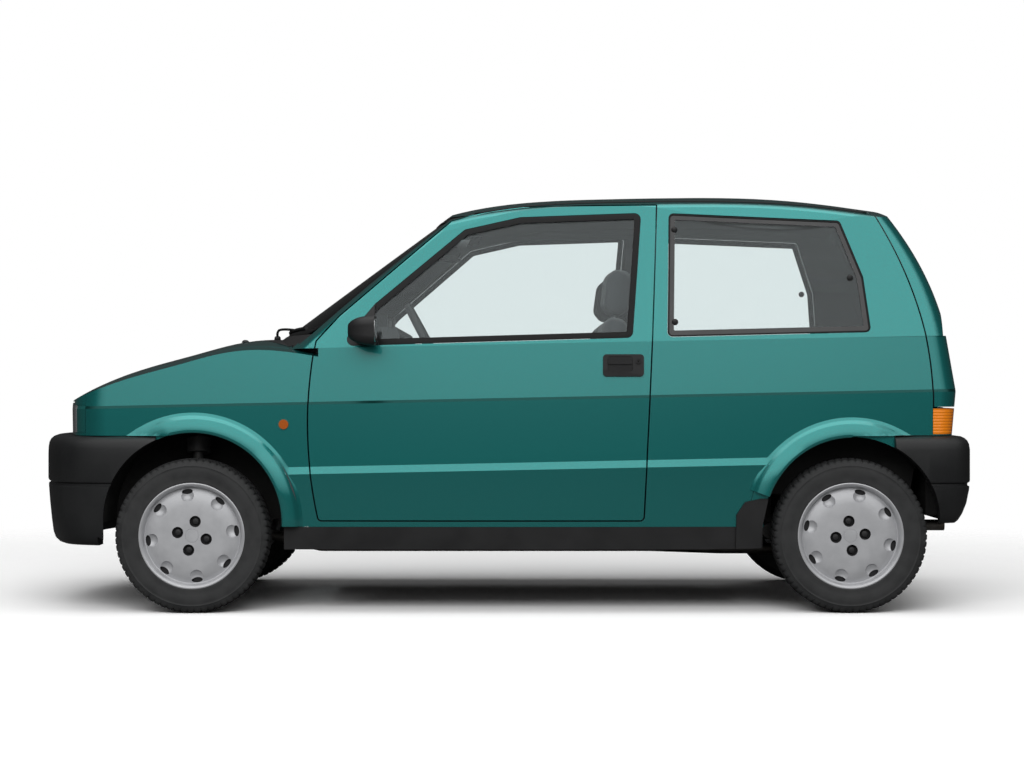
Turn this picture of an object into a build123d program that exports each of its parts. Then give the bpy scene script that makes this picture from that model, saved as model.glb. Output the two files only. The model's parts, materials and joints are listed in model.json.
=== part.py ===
from build123d import *
from math import cos, radians, sin
import os

os.makedirs("parts", exist_ok=True)

# A small three-door city car, in millimetres. +X is forward, +Y is the car's left, +Z is up.
# The origin is on the ground under the middle of the car.

# ---- Driving dimensions -------------------------------------------------------------------

front_axle_x = 1013.5
rear_axle_x = -1186.5
front_bumper_x = 1606
rear_bumper_x = -1606
roof_height = 1435
wheel_z = 258

track_front = 1264
track_rear = 1257
tyre_radius = 258
tyre_width = 135
rim_radius = 165

wedge_angle = 1.15
door_wall = 70
pillar_wall = 40
roof_wall = 28
frame_wall = 95
frame_pillar_wall = 62
panel_wall = 16
bonnet_wall = 22
shut_gap = 5
rebate = 14
flange = 40
flare_height = 9
glass_wall = 5
glass_depth = 4
fit = 0.6

front_arch_x = 1006
front_arch_z = 305
front_arch_radius = 300
rear_arch_x = -1187
rear_arch_z = 293
rear_arch_radius = 296
flare_width = 50
front_well_y = 418
rear_well_y = 520

sill_bottom = 214
sill_top = 290
floor_wall = 18
tunnel_half_width = 105
tunnel_height = 95

steer_tilt = 12.7
kingpin_y = 600
kingpin_z = 200
spindle_radius = 14
bearing_gap = 0.5

# ---- Body form ----------------------------------------------------------------------------

# height, half width, nose and tail of the lower body, from under the sill to the belt
LOWER_LEVELS = (
    (200, 716, 1490, -1500),
    (478, 739, 1500, -1550),
    (502, 730, 1502, -1552),
    (709, 733, 1505, -1570),
    (718, 727, 1505, -1570),
    (897, 713, 1490, -1541),
)
# height, half width, windscreen, tail and windscreen bow of the upper body, from the belt up
UPPER_LEVELS = (
    (897, 704, 832, -1538, 190),
    (1150, 640, 478, -1453, 120),
    (1440, 546, 64, -1250, 62),
)
# station along the car, roof height and half width there
ROOF_STATIONS = (
    (900, 1040, 680),
    (420, 1262, 600),
    (161, 1373, 562),
    (-120, 1419, 567),
    (-650, roof_height, 567),
    (-1105, 1417, 560),
    (-1500, 1372, 545),
)
# the bonnet's middle line, from the nose back under the windscreen
BONNET_LINE = (
    (1560, 600),
    (1478, 710),
    (1350, 786),
    (1203, 838),
    (1056, 878),
    (909, 916),
    (813, 927),
    (720, 924),
    (590, 906),
)
windscreen_lean = 1.79
bonnet_crown_radius = 5000
wing_shoulder = (75, 90)
roof_edge_drop = 58
roof_edge_radius = 30
skirt_flare = 200
skirt_depth = 370


def level_plane(height):
    """A horizontal plane that drops towards the nose by the wedge of the body's creases."""
    lean = radians(wedge_angle)
    return Plane(origin=(0, 0, height), x_dir=(cos(lean), 0, -sin(lean)), z_dir=(sin(lean), 0, cos(lean)))


def side_plane(y):
    """A plane along the car at y, with X to the right and Z up."""
    return Plane(origin=(0, y, 0), x_dir=(1, 0, 0), z_dir=(0, -1, 0))


def front_plane(x):
    """A plane across the car at x, with Y to the right and Z up."""
    return Plane(origin=(x, 0, 0), x_dir=(0, 1, 0), z_dir=(1, 0, 0))


def body_outline(height, half_width, nose_x, tail_x, nose, tail):
    """Plan outline of the body at one height; nose and tail each give bow, corner radius and draw-in."""
    nose_bow, nose_corner, nose_in = nose
    tail_bow, tail_corner, tail_in = tail
    nose_side = (nose_x - nose_bow, half_width - nose_in)
    tail_side = (tail_x + tail_bow, half_width - tail_in)
    widest_x = (nose_side[0] + tail_side[0]) / 2 - 100
    with BuildSketch(level_plane(height)) as outline:
        with BuildLine():
            ThreePointArc((nose_side[0], -nose_side[1]), (nose_x, 0), nose_side)
            ThreePointArc(nose_side, (widest_x, half_width), tail_side)
            ThreePointArc(tail_side, (tail_x, 0), (tail_side[0], -tail_side[1]))
            ThreePointArc(
                (tail_side[0], -tail_side[1]), (widest_x, -half_width), (nose_side[0], -nose_side[1])
            )
        make_face()
        fillet(outline.vertices().sort_by(Axis.X)[-2:], nose_corner)
        fillet(outline.vertices().sort_by(Axis.X)[:2], tail_corner)
    return outline.sketch.face()


def lower_outline(level, inset, rise=0, draw_in=0):
    """One outline of the lower body, drawn in by inset."""
    height, half_width, nose_x, tail_x = level
    nose = (110, 130 - inset / 2, 45)
    tail = (28, 60 - inset / 3, 40)
    return body_outline(
        height + rise, half_width - inset - draw_in, nose_x - inset, tail_x + inset, nose, tail
    )


def lower_form(inset):
    """Lower body between the sill and the belt: bands between the rib, the crease and the belt."""
    outlines = [lower_outline(level, inset) for level in LOWER_LEVELS]
    with BuildPart() as lower:
        loft(outlines, ruled=True)
    return lower.part


def wing_form(inset):
    """The rounded shoulders that rise from the belt over the front wings, as far back as the doors."""
    rise, draw_in = wing_shoulder
    outlines = [
        lower_outline(LOWER_LEVELS[-1], inset),
        lower_outline(LOWER_LEVELS[-1], inset, rise, draw_in),
    ]
    with BuildPart() as wings:
        loft(outlines, ruled=True)
        with Locations((BONNET_LINE[-1][0], 0, 700)):
            Box(3000, 1800, 1000, align=(Align.MAX, Align.CENTER, Align.MIN), mode=Mode.SUBTRACT)
    return wings.part


def above_bonnet(inset):
    """The space over the crowned bonnet."""
    crown_axis = Axis((0, 0, BONNET_LINE[-3][1] - bonnet_crown_radius), (1, 0, 0))
    line = [(x, z - inset) for x, z in BONNET_LINE]
    with BuildPart() as space:
        with BuildSketch(side_plane(0)):
            with BuildLine():
                Spline(*line)
                Polyline(line[-1], (line[-1][0], 1300), (line[0][0], 1300), line[0])
            make_face()
        revolve(axis=crown_axis, revolution_arc=24)
    return space.part.rotate(crown_axis, -12)


def cabin_form(inset, roof_inset):
    """Upper body from the belt to the crowned roof with its rounded edges."""
    outlines = []
    for height, half_width, screen_x, tail_x, screen_bow in UPPER_LEVELS:
        outlines.append(
            body_outline(
                height,
                half_width - inset,
                screen_x - windscreen_lean * inset,
                tail_x + inset,
                (screen_bow, 30, 22),
                (22, 60 - inset / 2, 28),
            )
        )
    sections = []
    for x, z, half_width in ROOF_STATIONS:
        side = half_width - inset
        edge = z - roof_inset - roof_edge_drop
        with BuildSketch(front_plane(x)) as section:
            with BuildLine():
                ThreePointArc((-side, edge), (0, z - roof_inset), (side, edge))
                Polyline(
                    (side, edge), (side + skirt_flare, edge - skirt_depth), (side + skirt_flare, 400),
                    (-side - skirt_flare, 400), (-side - skirt_flare, edge - skirt_depth), (-side, edge),
                )
            make_face()
            fillet(section.vertices().group_by(Axis.Z)[-1], roof_edge_radius)
        sections.append(section.sketch.face())
    with BuildPart() as cabin:
        loft(outlines)
        loft(sections, mode=Mode.INTERSECT)
    return cabin.part


def body_form(low_inset, high_inset, roof_inset, bonnet_inset):
    """The whole body as one closed form, drawn in by the wall of each region."""
    pieces = (lower_form(low_inset), wing_form(low_inset))
    above = above_bonnet(bonnet_inset)
    cabin = cabin_form(high_inset, roof_inset)
    with BuildPart() as form:
        add(pieces)
        add(above, mode=Mode.SUBTRACT)
        add(cabin)
    return form.part


# ---- Outlines that the panels share -------------------------------------------------------

DOOR_FRONT = ((587, 312), (622, 640), (597, 908))
DOOR_TOP = ((597, 908), (520, 993), (148, 1317), (20, 1351), (-90, 1366), (-543, 1370))
DOOR_REAR = ((-543, 1370), (-492, 312))
DOOR_WINDOW = ((522, 891), (405, 1034), (104, 1289), (-83, 1331), (-493, 1345), (-458, 919))
QUARTER_WINDOW = ((-573, 921), (-585, 1344), (-1165, 1319), (-1236, 1125), (-1256, 938))
TAILGATE_EDGE = ((-1283, 1500), (-1280, 1352), (-1366, 1178), (-1438, 946), (-1464, 689))
SCREEN_OPENING = ((612, 934), (512, 1342))
CABIN_INSIDE = ((641, 150), (650, 905), (538, 1342), (480, 1420))
TAILGATE_WINDOW = ((560, 985), (478, 1322))
BONNET_SIDE = ((668, 604), (1500, 548))
bonnet_rear_x = 850
scuttle_half_width = 588
bonnet_lip_z = 706
roof_half_width = 505
frame_rear_x = -1459
wing_top = 888
door_front_x = 623
sail_x = 404
far = 900


def door_outline(grow):
    """Door shut line, grown outwards or, with a negative value, drawn inwards."""
    with BuildSketch() as outline:
        with BuildLine():
            ThreePointArc(*DOOR_FRONT)
            Polyline(*DOOR_TOP)
            Polyline(*DOOR_REAR, DOOR_FRONT[0])
        make_face()
        fillet(outline.vertices().group_by(Axis.Y)[0], 12)
        if grow:
            offset(amount=grow)
    return outline.sketch


def window_outline(points, radius, grow=0):
    """A window or panel outline with its corners rounded."""
    with BuildSketch() as outline:
        with BuildLine():
            Polyline(*points, close=True)
        make_face()
        fillet(outline.vertices(), radius)
        if grow:
            offset(amount=grow)
    return outline.sketch


def tailgate_outline(grow):
    """Tailgate region in the side view: everything behind its shut line."""
    low_z = TAILGATE_EDGE[-1][1] - grow
    edge = [(x + grow, z) for x, z in TAILGATE_EDGE[:-1]] + [(TAILGATE_EDGE[-1][0] + grow, low_z)]
    with BuildSketch() as outline:
        with BuildLine():
            Polyline(edge[0], edge[1])
            Spline(*edge[1:])
            Polyline(edge[-1], (-1800, low_z), (-1800, 1500), edge[0])
        make_face()
    return outline.sketch


def arch_outline(x, z, radius, grow=0):
    """Wheel arch opening: a half circle on straight legs that run down past the sill."""
    with BuildSketch() as outline:
        with Locations((x, z)):
            Circle(radius + grow)
            Rectangle(2 * (radius + grow), z, align=(Align.CENTER, Align.MAX))
    return outline.sketch


def side_block(outline, low_y, high_y):
    """A side view outline made solid between two distances from the middle."""
    with BuildPart() as block:
        with BuildSketch(side_plane(low_y)):
            add(outline)
        extrude(amount=low_y - high_y)
    return block.part


def front_block(points, radius, low_x, high_x, grow=0):
    """A symmetric front view outline made solid between two stations."""
    both_sides = [*points, *[(-y, z) for y, z in reversed(points)]]
    with BuildPart() as block:
        with BuildSketch(front_plane(low_x)):
            add(window_outline(both_sides, radius, grow))
        extrude(amount=high_x - low_x)
    return block.part


def bonnet_block(grow):
    """Bonnet outline from above: straight sides, and a bowed rear edge ahead of the windscreen."""
    (side_x, side_y), (nose_x, nose_y) = BONNET_SIDE
    with BuildPart() as block:
        with BuildSketch(Plane.XY.offset(bonnet_lip_z - grow)) as plan:
            with BuildLine():
                Polyline((side_x, side_y), (nose_x + 80, nose_y), (nose_x + 80, -nose_y), (side_x, -side_y))
                ThreePointArc((side_x, -side_y), (bonnet_rear_x, 0), (side_x, side_y))
            make_face()
            fillet(plan.vertices().group_by(Axis.X)[0], 24)
            if grow:
                offset(amount=grow)
        extrude(amount=400)
    return block.part


def block(low, high):
    """A plain block between two corners."""
    size = [b - a for a, b in zip(low, high)]
    with BuildPart() as solid:
        with Locations(low):
            Box(*size, align=(Align.MIN, Align.MIN, Align.MIN))
    return solid.part


def finish(piece, name):
    """Names a finished piece and writes it."""
    piece.part.label = name
    export_step(piece.part, f"parts/{name}.step")


def finish_pair(piece, name):
    """Writes a piece of the left side, and its mirror image on the right."""
    finish(piece, f"{name}_left")
    with BuildPart() as opposite:
        mirror(piece.part, about=Plane.XZ)
    finish(opposite, f"{name}_right")


outer = body_form(0, 0, 0, 0)
glass_front = cabin_form(glass_depth, glass_depth)
glass_back = cabin_form(glass_depth + glass_wall, glass_depth + glass_wall)
panel_back = body_form(panel_wall, panel_wall, panel_wall, bonnet_wall)
door_back = body_form(door_wall, pillar_wall, roof_wall, bonnet_wall)
pocket_back = body_form(door_wall + fit, pillar_wall + fit, roof_wall + fit, bonnet_wall + fit)
frame_back = body_form(frame_wall, frame_pillar_wall, roof_wall, bonnet_wall)
room = body_form(frame_wall + fit, frame_pillar_wall + fit, roof_wall + fit, bonnet_wall + fit)
flare_form = lower_form(-flare_height)

left_side = block((-1700, 350, 150), (1700, far, 1500))
outer_left = outer & left_side
glass_front_left = glass_front & left_side
glass_back_left = glass_back & left_side
panel_back_left = panel_back & left_side
door_back_left = door_back & left_side
pocket_back_left = pocket_back & left_side
frame_back_left = frame_back & left_side
flare_left = flare_form & left_side
sill_skin = lower_form(glass_depth) & left_side
flare_back = lower_form(glass_depth + glass_wall) & left_side

front_arch = arch_outline(front_arch_x, front_arch_z, front_arch_radius)
rear_arch = arch_outline(rear_arch_x, rear_arch_z, rear_arch_radius)
bumper_top = 592
bumper_start_x = 1130
rear_bumper_start_x = -1330
MUDFLAP = ((-800, 206), (-802, 330), (-830, 372), (-880, 384), (-908, 384), (-890, 300), (-884, 206))


def arch_flare(x, z, radius, low_x, high_x):
    """Raised lip round one wheel arch, between its two ends."""
    with BuildPart() as lip:
        add(flare_left)
        add(side_block(arch_outline(x, z, radius, flare_width), 500, far), mode=Mode.INTERSECT)
        add(block((low_x, 500, sill_top), (high_x, far, 800)), mode=Mode.INTERSECT)
        add(side_block(arch_outline(x, z, radius), 400, far), mode=Mode.SUBTRACT)
        add(flare_back, mode=Mode.SUBTRACT)
    return lip.part


front_flare = arch_flare(front_arch_x, front_arch_z, front_arch_radius, 640, bumper_start_x - fit)
rear_flare = arch_flare(rear_arch_x, rear_arch_z, rear_arch_radius, rear_bumper_start_x + fit, -800)
mudflap_block = side_block(window_outline(MUDFLAP, 4, fit), 500, far)

# ---- Doors --------------------------------------------------------------------------------

door_block = side_block(door_outline(0), 380, far)
door_step = door_block - side_block(door_outline(-rebate), 300, far)
door_step = door_step & panel_back_left
with BuildPart() as door:
    add(door_block)
    add(outer_left, mode=Mode.INTERSECT)
    add(door_back_left, mode=Mode.SUBTRACT)
    add(door_step, mode=Mode.SUBTRACT)
    add(front_block(CABIN_INSIDE, 5, -700, 700), mode=Mode.SUBTRACT)
    add(side_block(window_outline(DOOR_WINDOW, 22), 300, far), mode=Mode.SUBTRACT)
finish_pair(door, "door")

with BuildPart() as door_glass:
    add(side_block(window_outline(DOOR_WINDOW, 22, -fit), 300, far))
    add(block((sail_x, 300, 800), (700, far, 1400)), mode=Mode.SUBTRACT)
    add(glass_front_left, mode=Mode.INTERSECT)
    add(glass_back_left, mode=Mode.SUBTRACT)
finish_pair(door_glass, "door_glass")

# Door handle: a plate on the skin with a recess for the fingers, a flap across it and a lock.
handle_x = -426
handle_z = 827
handle_face = 728
recess_x = -415
recess_z = 831
recess_depth = 6
with BuildPart() as door_handle:
    with BuildSketch(side_plane(600)):
        with Locations((handle_x, handle_z)):
            RectangleRounded(136, 74, 12)
    extrude(amount=-140)
    add(flare_left, mode=Mode.INTERSECT)
    add(outer_left, mode=Mode.SUBTRACT)
    add(block((-600, 500, 700), (-300, handle_face, 900)), mode=Mode.INTERSECT)
    with BuildSketch(side_plane(handle_face - recess_depth)):
        with Locations((recess_x, recess_z)):
            RectangleRounded(84, 52, 9)
    extrude(amount=-20, mode=Mode.SUBTRACT)
    with BuildSketch(side_plane(handle_face - recess_depth - 1)):
        with Locations((recess_x, recess_z + 12)):
            RectangleRounded(82, 24, 6)
    extrude(amount=-recess_depth)
    with BuildSketch(side_plane(handle_face - 2)):
        with Locations((-476, 841)):
            Circle(9)
    extrude(amount=-4)
finish_pair(door_handle, "door_handle")

# Door mirror: a rounded housing on a foot that grows from the plate in the window's front corner.
mirror_x = 438
mirror_z = 940
with BuildPart() as sail_plate:
    add(side_block(window_outline(DOOR_WINDOW, 22, -fit), 300, far))
    add(block((sail_x + fit, 300, 800), (700, far, 1400)), mode=Mode.INTERSECT)
    add(outer_left, mode=Mode.INTERSECT)
    add(panel_back_left, mode=Mode.SUBTRACT)
sail = sail_plate.part
with BuildPart() as door_mirror:
    for station, width, height, corner in (
        (44, 74, 40, 18), (20, 124, 76, 26), (-10, 148, 92, 30), (-44, 154, 98, 30),
    ):
        with BuildSketch(Plane(origin=(mirror_x + station, 805, mirror_z), x_dir=(0, 1, 0), z_dir=(1, 0, 0))):
            RectangleRounded(width, height, corner)
    loft()
    with BuildSketch(Plane(origin=(mirror_x, 660, mirror_z - 16), x_dir=(1, 0, 0), z_dir=(0, 1, 0))):
        RectangleRounded(62, 34, 10)
    extrude(amount=100)
    add(outer_left, mode=Mode.SUBTRACT)
    add(sail)
finish_pair(door_mirror, "mirror")

# ---- Side frames --------------------------------------------------------------------------

screen_edge = [(y + 1, z) for y, z in SCREEN_OPENING]
with BuildPart() as side_frame:
    add(block((frame_rear_x, 420, sill_bottom), (door_front_x, far, 1500)))
    add(outer_left, mode=Mode.INTERSECT)
    add(frame_back_left, mode=Mode.SUBTRACT)
    # the door pocket, the clear doorway inside its flange, and the quarter window
    pocket = side_block(door_outline(shut_gap), 300, far) - front_block(CABIN_INSIDE, 5, -700, 700, -shut_gap)
    add(pocket - pocket_back_left, mode=Mode.SUBTRACT)
    add(side_block(door_outline(-flange), 300, far), mode=Mode.SUBTRACT)
    add(side_block(window_outline(QUARTER_WINDOW, 18), 300, far), mode=Mode.SUBTRACT)
    # the tailgate's pocket and the boot opening inside its flange
    add(side_block(tailgate_outline(shut_gap), 300, far) - pocket_back_left, mode=Mode.SUBTRACT)
    add(side_block(tailgate_outline(-30), 300, far), mode=Mode.SUBTRACT)
    # the windscreen and the roof panel take over inboard of the pillars
    with BuildSketch(front_plane(-1600)):
        with BuildLine():
            Polyline(
                (300, 900), (screen_edge[0][0], 900), screen_edge[0], screen_edge[1],
                (roof_half_width, 1350), (roof_half_width, 1500), (300, 1500), close=True,
            )
        make_face()
    extrude(amount=2400, mode=Mode.SUBTRACT)
    # the front wing, the sill trim and the bumper overlap its outer skin
    add(block((560, 300, 0), (door_front_x + 1, far, wing_top)) - panel_back_left, mode=Mode.SUBTRACT)
    add(block((-1500, 300, 0), (900, far, sill_top)) - sill_skin, mode=Mode.SUBTRACT)
    add(block((-1700, 300, 0), (rear_bumper_start_x + 30, far, bumper_top + fit)), mode=Mode.SUBTRACT)
    add(block((580, 300, 600), (door_front_x + 1, SCREEN_OPENING[0][0] + fit, 901)), mode=Mode.SUBTRACT)
    add(side_block(rear_arch, 300, far), mode=Mode.SUBTRACT)
    add(rear_flare)
    add(mudflap_block - panel_back_left, mode=Mode.SUBTRACT)
finish_pair(side_frame, "side_frame")

with BuildPart() as quarter_glasses:
    add(side_block(window_outline(QUARTER_WINDOW, 18, -fit), 300, far))
    add(glass_front_left, mode=Mode.INTERSECT)
    add(glass_back_left, mode=Mode.SUBTRACT)
    mirror(about=Plane.XZ)
finish(quarter_glasses, "quarter_glasses")

# ---- Roof, windscreen, bonnet and scuttle -------------------------------------------------

with BuildPart() as roof_panel:
    add(block(
        (TAILGATE_EDGE[0][0] + shut_gap, -roof_half_width + fit, 1200), (900, roof_half_width - fit, 1600),
    ))
    add(outer, mode=Mode.INTERSECT)
    add(panel_back, mode=Mode.SUBTRACT)
    add(block((-200, -far, 0), (900, far, SCREEN_OPENING[1][1])), mode=Mode.SUBTRACT)
finish(roof_panel, "roof_panel")

with BuildPart() as windscreen:
    add(front_block(SCREEN_OPENING, 50, -100, 1000, -fit))
    add(glass_front, mode=Mode.INTERSECT)
    add(glass_back, mode=Mode.SUBTRACT)
finish(windscreen, "windscreen")

with BuildPart() as bonnet:
    add(bonnet_block(0))
    add(outer, mode=Mode.INTERSECT)
    add(panel_back, mode=Mode.SUBTRACT)
finish(bonnet, "bonnet")

scuttle_low = block(
    (BONNET_LINE[-1][0], -SCREEN_OPENING[0][0] + 1, 600), (664, SCREEN_OPENING[0][0] - 1, 1200),
)
with BuildPart() as scuttle:
    add(scuttle_low)
    add(block((660, -scuttle_half_width, 600), (860, scuttle_half_width, 1200)))
    add(outer, mode=Mode.INTERSECT)
    add(panel_back, mode=Mode.SUBTRACT)
    add(bonnet_block(shut_gap), mode=Mode.SUBTRACT)
    add(block((0, -far, SCREEN_OPENING[0][1] - fit), (900, far, 1600)), mode=Mode.SUBTRACT)
finish(scuttle, "scuttle")

# ---- Front wings, nose and tail panels ----------------------------------------------------

nose_split_x = 1372
LAMP = ((392, 603), (392, 694), (690, 694), (690, 603))
TAIL_LAMP = ((476, 598), (476, 683), (800, 683), (800, 598))


def lamp_block(points, low_x, high_x, grow):
    """Lamp opening on the left, as a solid along the car."""
    with BuildPart() as opening:
        with BuildSketch(front_plane(low_x)):
            add(window_outline(points, 8, grow))
        extrude(amount=high_x - low_x)
    return opening.part


with BuildPart() as fender:
    add(block((560, 500, sill_top), (nose_split_x, far, 1200)))
    add(outer_left, mode=Mode.INTERSECT)
    add(panel_back_left, mode=Mode.SUBTRACT)
    add(side_block(door_outline(shut_gap), 300, far), mode=Mode.SUBTRACT)
    add(block((500, 300, wing_top - fit), (door_front_x + fit, far, 1300)), mode=Mode.SUBTRACT)
    add(bonnet_block(shut_gap), mode=Mode.SUBTRACT)
    add(block((500, 0, 600), (664 + fit, SCREEN_OPENING[0][0] - 1 + fit, 1300)), mode=Mode.SUBTRACT)
    add(block((600, 0, 600), (860 + fit, scuttle_half_width + fit, 1300)), mode=Mode.SUBTRACT)
    add(block((bumper_start_x - fit, 300, 0), (1700, far, bumper_top + fit)), mode=Mode.SUBTRACT)
    add(side_block(front_arch, 300, far), mode=Mode.SUBTRACT)
    add(front_flare)
finish_pair(fender, "fender")

with BuildPart() as front_panel:
    add(block((nose_split_x + fit, -far, bumper_top + fit), (1700, far, 1200)))
    add(outer, mode=Mode.INTERSECT)
    add(panel_back, mode=Mode.SUBTRACT)
    add(bonnet_block(shut_gap), mode=Mode.SUBTRACT)
    for side in (1, -1):
        opening = lamp_block([(side * y, z) for y, z in LAMP], nose_split_x - 50, 1700, fit)
        add(opening, mode=Mode.SUBTRACT)
finish(front_panel, "front_panel")

repeater_x = 704
repeater_z = 631
with BuildPart() as front_lamps:
    add(lamp_block(LAMP, nose_split_x + 1, 1700, 0))
    add(outer, mode=Mode.INTERSECT)
    add(door_back, mode=Mode.SUBTRACT)
    with BuildSketch() as repeater:
        with Locations((repeater_x, repeater_z)):
            Circle(16)
    add(side_block(repeater.sketch, 600, 724) - outer)
    mirror(about=Plane.XZ)
finish(front_lamps, "front_lamps")

with BuildPart() as rear_panel:
    add(block((-1700, -far, 320), (frame_rear_x - fit, far, 715)))
    add(outer, mode=Mode.INTERSECT)
    add(frame_back, mode=Mode.SUBTRACT)
    add(side_block(tailgate_outline(shut_gap), -far, far) - pocket_back, mode=Mode.SUBTRACT)
    add(side_block(tailgate_outline(-30), -far, far), mode=Mode.SUBTRACT)
    for low, high in ((560, far), (-far, -560)):
        add(block((-1700, low, 0), (-1300, high, bumper_top + fit)), mode=Mode.SUBTRACT)
    for side in (1, -1):
        opening = lamp_block([(side * y, z) for y, z in TAIL_LAMP], -1700, -1300, fit)
        add(opening - door_back, mode=Mode.SUBTRACT)
finish(rear_panel, "rear_panel")

with BuildPart() as tail_lamps:
    add(lamp_block(TAIL_LAMP, -1700, frame_rear_x - 2 * fit, 0))
    add(outer, mode=Mode.INTERSECT)
    add(door_back, mode=Mode.SUBTRACT)
    mirror(about=Plane.XZ)
finish(tail_lamps, "tail_lamps")

with BuildPart() as tailgate:
    add(side_block(tailgate_outline(0), -far, far))
    add(outer, mode=Mode.INTERSECT)
    add(door_back, mode=Mode.SUBTRACT)
    add(front_block(TAILGATE_WINDOW, 45, -1700, -1250), mode=Mode.SUBTRACT)
finish(tailgate, "tailgate")

with BuildPart() as tailgate_glass:
    add(front_block(TAILGATE_WINDOW, 45, -1700, -1250, -fit))
    add(glass_front, mode=Mode.INTERSECT)
    add(glass_back, mode=Mode.SUBTRACT)
finish(tailgate_glass, "tailgate_glass")

# ---- Bumpers and sill trims ---------------------------------------------------------------

bumper_depth = 34
well_gap = 6
well_wall = 12


def bumper_section(low_z, taper, groove_low, groove_high, ledge):
    """Bumper section: a C with a rounded top ledge, a styling groove and a drawn-in lower edge."""
    with BuildSketch() as section:
        with BuildLine():
            Polyline(
                (0, bumper_top - 6), (0, groove_high), (-6, groove_high - 4), (-6, groove_low + 4),
                (0, groove_low), (-taper, low_z), (-bumper_depth, low_z), (-bumper_depth, bumper_top - 22),
                (-ledge, bumper_top - 22), (-ledge, bumper_top), (-14, bumper_top), (0, bumper_top - 6),
            )
        make_face()
    return section.sketch


def bumper_form(start, corner, middle_x, radius, section):
    """A bumper section swept along its plan line: flanks, rounded corners and a bowed middle."""
    with BuildLine() as line:
        Line(start, corner)
        ThreePointArc(corner, (middle_x, 0), (corner[0], -corner[1]))
        Line((corner[0], -corner[1]), (start[0], -start[1]))
    with BuildSketch() as flat:
        with BuildLine():
            add(line.line)
            Line((start[0], -start[1]), start)
        make_face()
        fillet(flat.vertices().filter_by(lambda v: abs(v.X - corner[0]) < 1), radius)
    edges = [e for e in flat.sketch.edges() if abs(e.center().X - start[0]) > 1]
    along = Vector(corner[0] - start[0], corner[1] - start[1], 0).normalized()
    across = Vector(-along.Y, along.X, 0)
    if across.Y < 0:
        across = -across
    with BuildPart() as bumper:
        cut_across = Plane(origin=(start[0], start[1], 0), x_dir=across, z_dir=across.cross(Vector(0, 0, 1)))
        with BuildSketch(cut_across):
            add(section)
        sweep(path=Wire(edges))
    return bumper.part


front_section = bumper_section(238, 16, 414, 434, 135)
rear_section = bumper_section(300, 30, 422, 444, 74)
with BuildPart() as front_bumper:
    add(bumper_form((bumper_start_x, 742), (1420, 700), front_bumper_x, 150, front_section))
    add(block((bumper_start_x, -far, 0), (1700, far, 700)), mode=Mode.INTERSECT)
    add(side_block(front_arch, -far, far), mode=Mode.SUBTRACT)
    front_well = arch_outline(front_arch_x, front_arch_z, front_arch_radius, well_gap + well_wall + 2)
    add(side_block(front_well, -702, 702), mode=Mode.SUBTRACT)
finish(front_bumper, "front_bumper")

with BuildPart() as rear_bumper:
    add(bumper_form((rear_bumper_start_x, 742), (-1572, 700), rear_bumper_x, 110, rear_section))
    add(block((-1700, -far, 0), (rear_bumper_start_x, far, 700)), mode=Mode.INTERSECT)
    add(side_block(rear_arch, -far, far), mode=Mode.SUBTRACT)
    add(flare_form & block((-1700, -562, 200), (-1300, 562, 700)), mode=Mode.SUBTRACT)
finish(rear_bumper, "rear_bumper")

with BuildPart() as sill_trims:
    add(block((-880, 400, sill_bottom), (704, far, sill_top - fit)))
    add(outer_left, mode=Mode.INTERSECT)
    add(sill_skin, mode=Mode.SUBTRACT)
    add(side_block(rear_arch, 300, far), mode=Mode.SUBTRACT)
    add(side_block(front_arch, 300, far), mode=Mode.SUBTRACT)
    add(mudflap_block, mode=Mode.SUBTRACT)
    add(side_block(window_outline(MUDFLAP, 4), 500, far) & (flare_left - panel_back_left))
    mirror(about=Plane.XZ)
finish(sill_trims, "sill_trims")

# ---- Floor, wheel houses and bulkhead -----------------------------------------------------

boot_floor_z = 400
rail_y = (342, front_well_y - 16)
with BuildPart() as floor_pan:
    with BuildSketch(side_plane(-700)):
        with BuildLine():
            FilletPolyline(
                (604, 430), (520, 225), (-640, 225), (-730, 340), (-880, boot_floor_z), (-1600, boot_floor_z),
                radius=60,
            )
        trace(line_width=floor_wall)
    extrude(amount=-1400)
    add(block((-600, -tunnel_half_width, 0), (500, tunnel_half_width, 300)), mode=Mode.SUBTRACT)
    with BuildSketch(front_plane(-600.5)):
        with BuildLine():
            Polyline((-tunnel_half_width - 9, 225), (-92, 225 + tunnel_height),
                     (92, 225 + tunnel_height), (tunnel_half_width + 9, 225))
        trace(line_width=floor_wall)
    extrude(amount=1121)
    add(room, mode=Mode.INTERSECT)
    # rear wheel houses
    for side in (1, -1):
        near, beyond = side * (rear_well_y - 14), side * far
        tub = arch_outline(rear_arch_x, rear_arch_z, rear_arch_radius, well_gap + well_wall)
        hole = arch_outline(rear_arch_x, rear_arch_z, rear_arch_radius, well_gap)
        add(side_block(tub, near, beyond), mode=Mode.SUBTRACT)
        shell = side_block(tub, near, beyond) - side_block(hole, side * rear_well_y, beyond)
        add((shell & room) & block((-1700, -far, boot_floor_z - 9), (-700, far, 900)))
    # engine rails, front beam and front wheel houses
    for side in (1, -1):
        low, high = sorted((side * rail_y[0], side * rail_y[1]))
        add(block((590, low, 300), (1462, high, 380)))
        near, beyond = side * (front_well_y - 16), side * far
        tub = arch_outline(front_arch_x, front_arch_z, front_arch_radius, well_gap + well_wall)
        hole = arch_outline(front_arch_x, front_arch_z, front_arch_radius, well_gap)
        shell = side_block(tub, near, beyond) - side_block(hole, side * front_well_y, beyond)
        add((shell & panel_back) & block((-1700, -far, 300), (1700, far, 900)))
    add(block((1450, -530, 420), (1462, 530, 500)))
    add(block((1430, -rail_y[1], 300), (1462, rail_y[1], 500)))
    add(block((600, -rail_y[1] - 200, 300), (616, rail_y[1] + 200, 440)))
    add(block((1396, -520, 380), (1430, 520, 760)) & pocket_back)
finish(floor_pan, "floor_pan")

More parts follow.
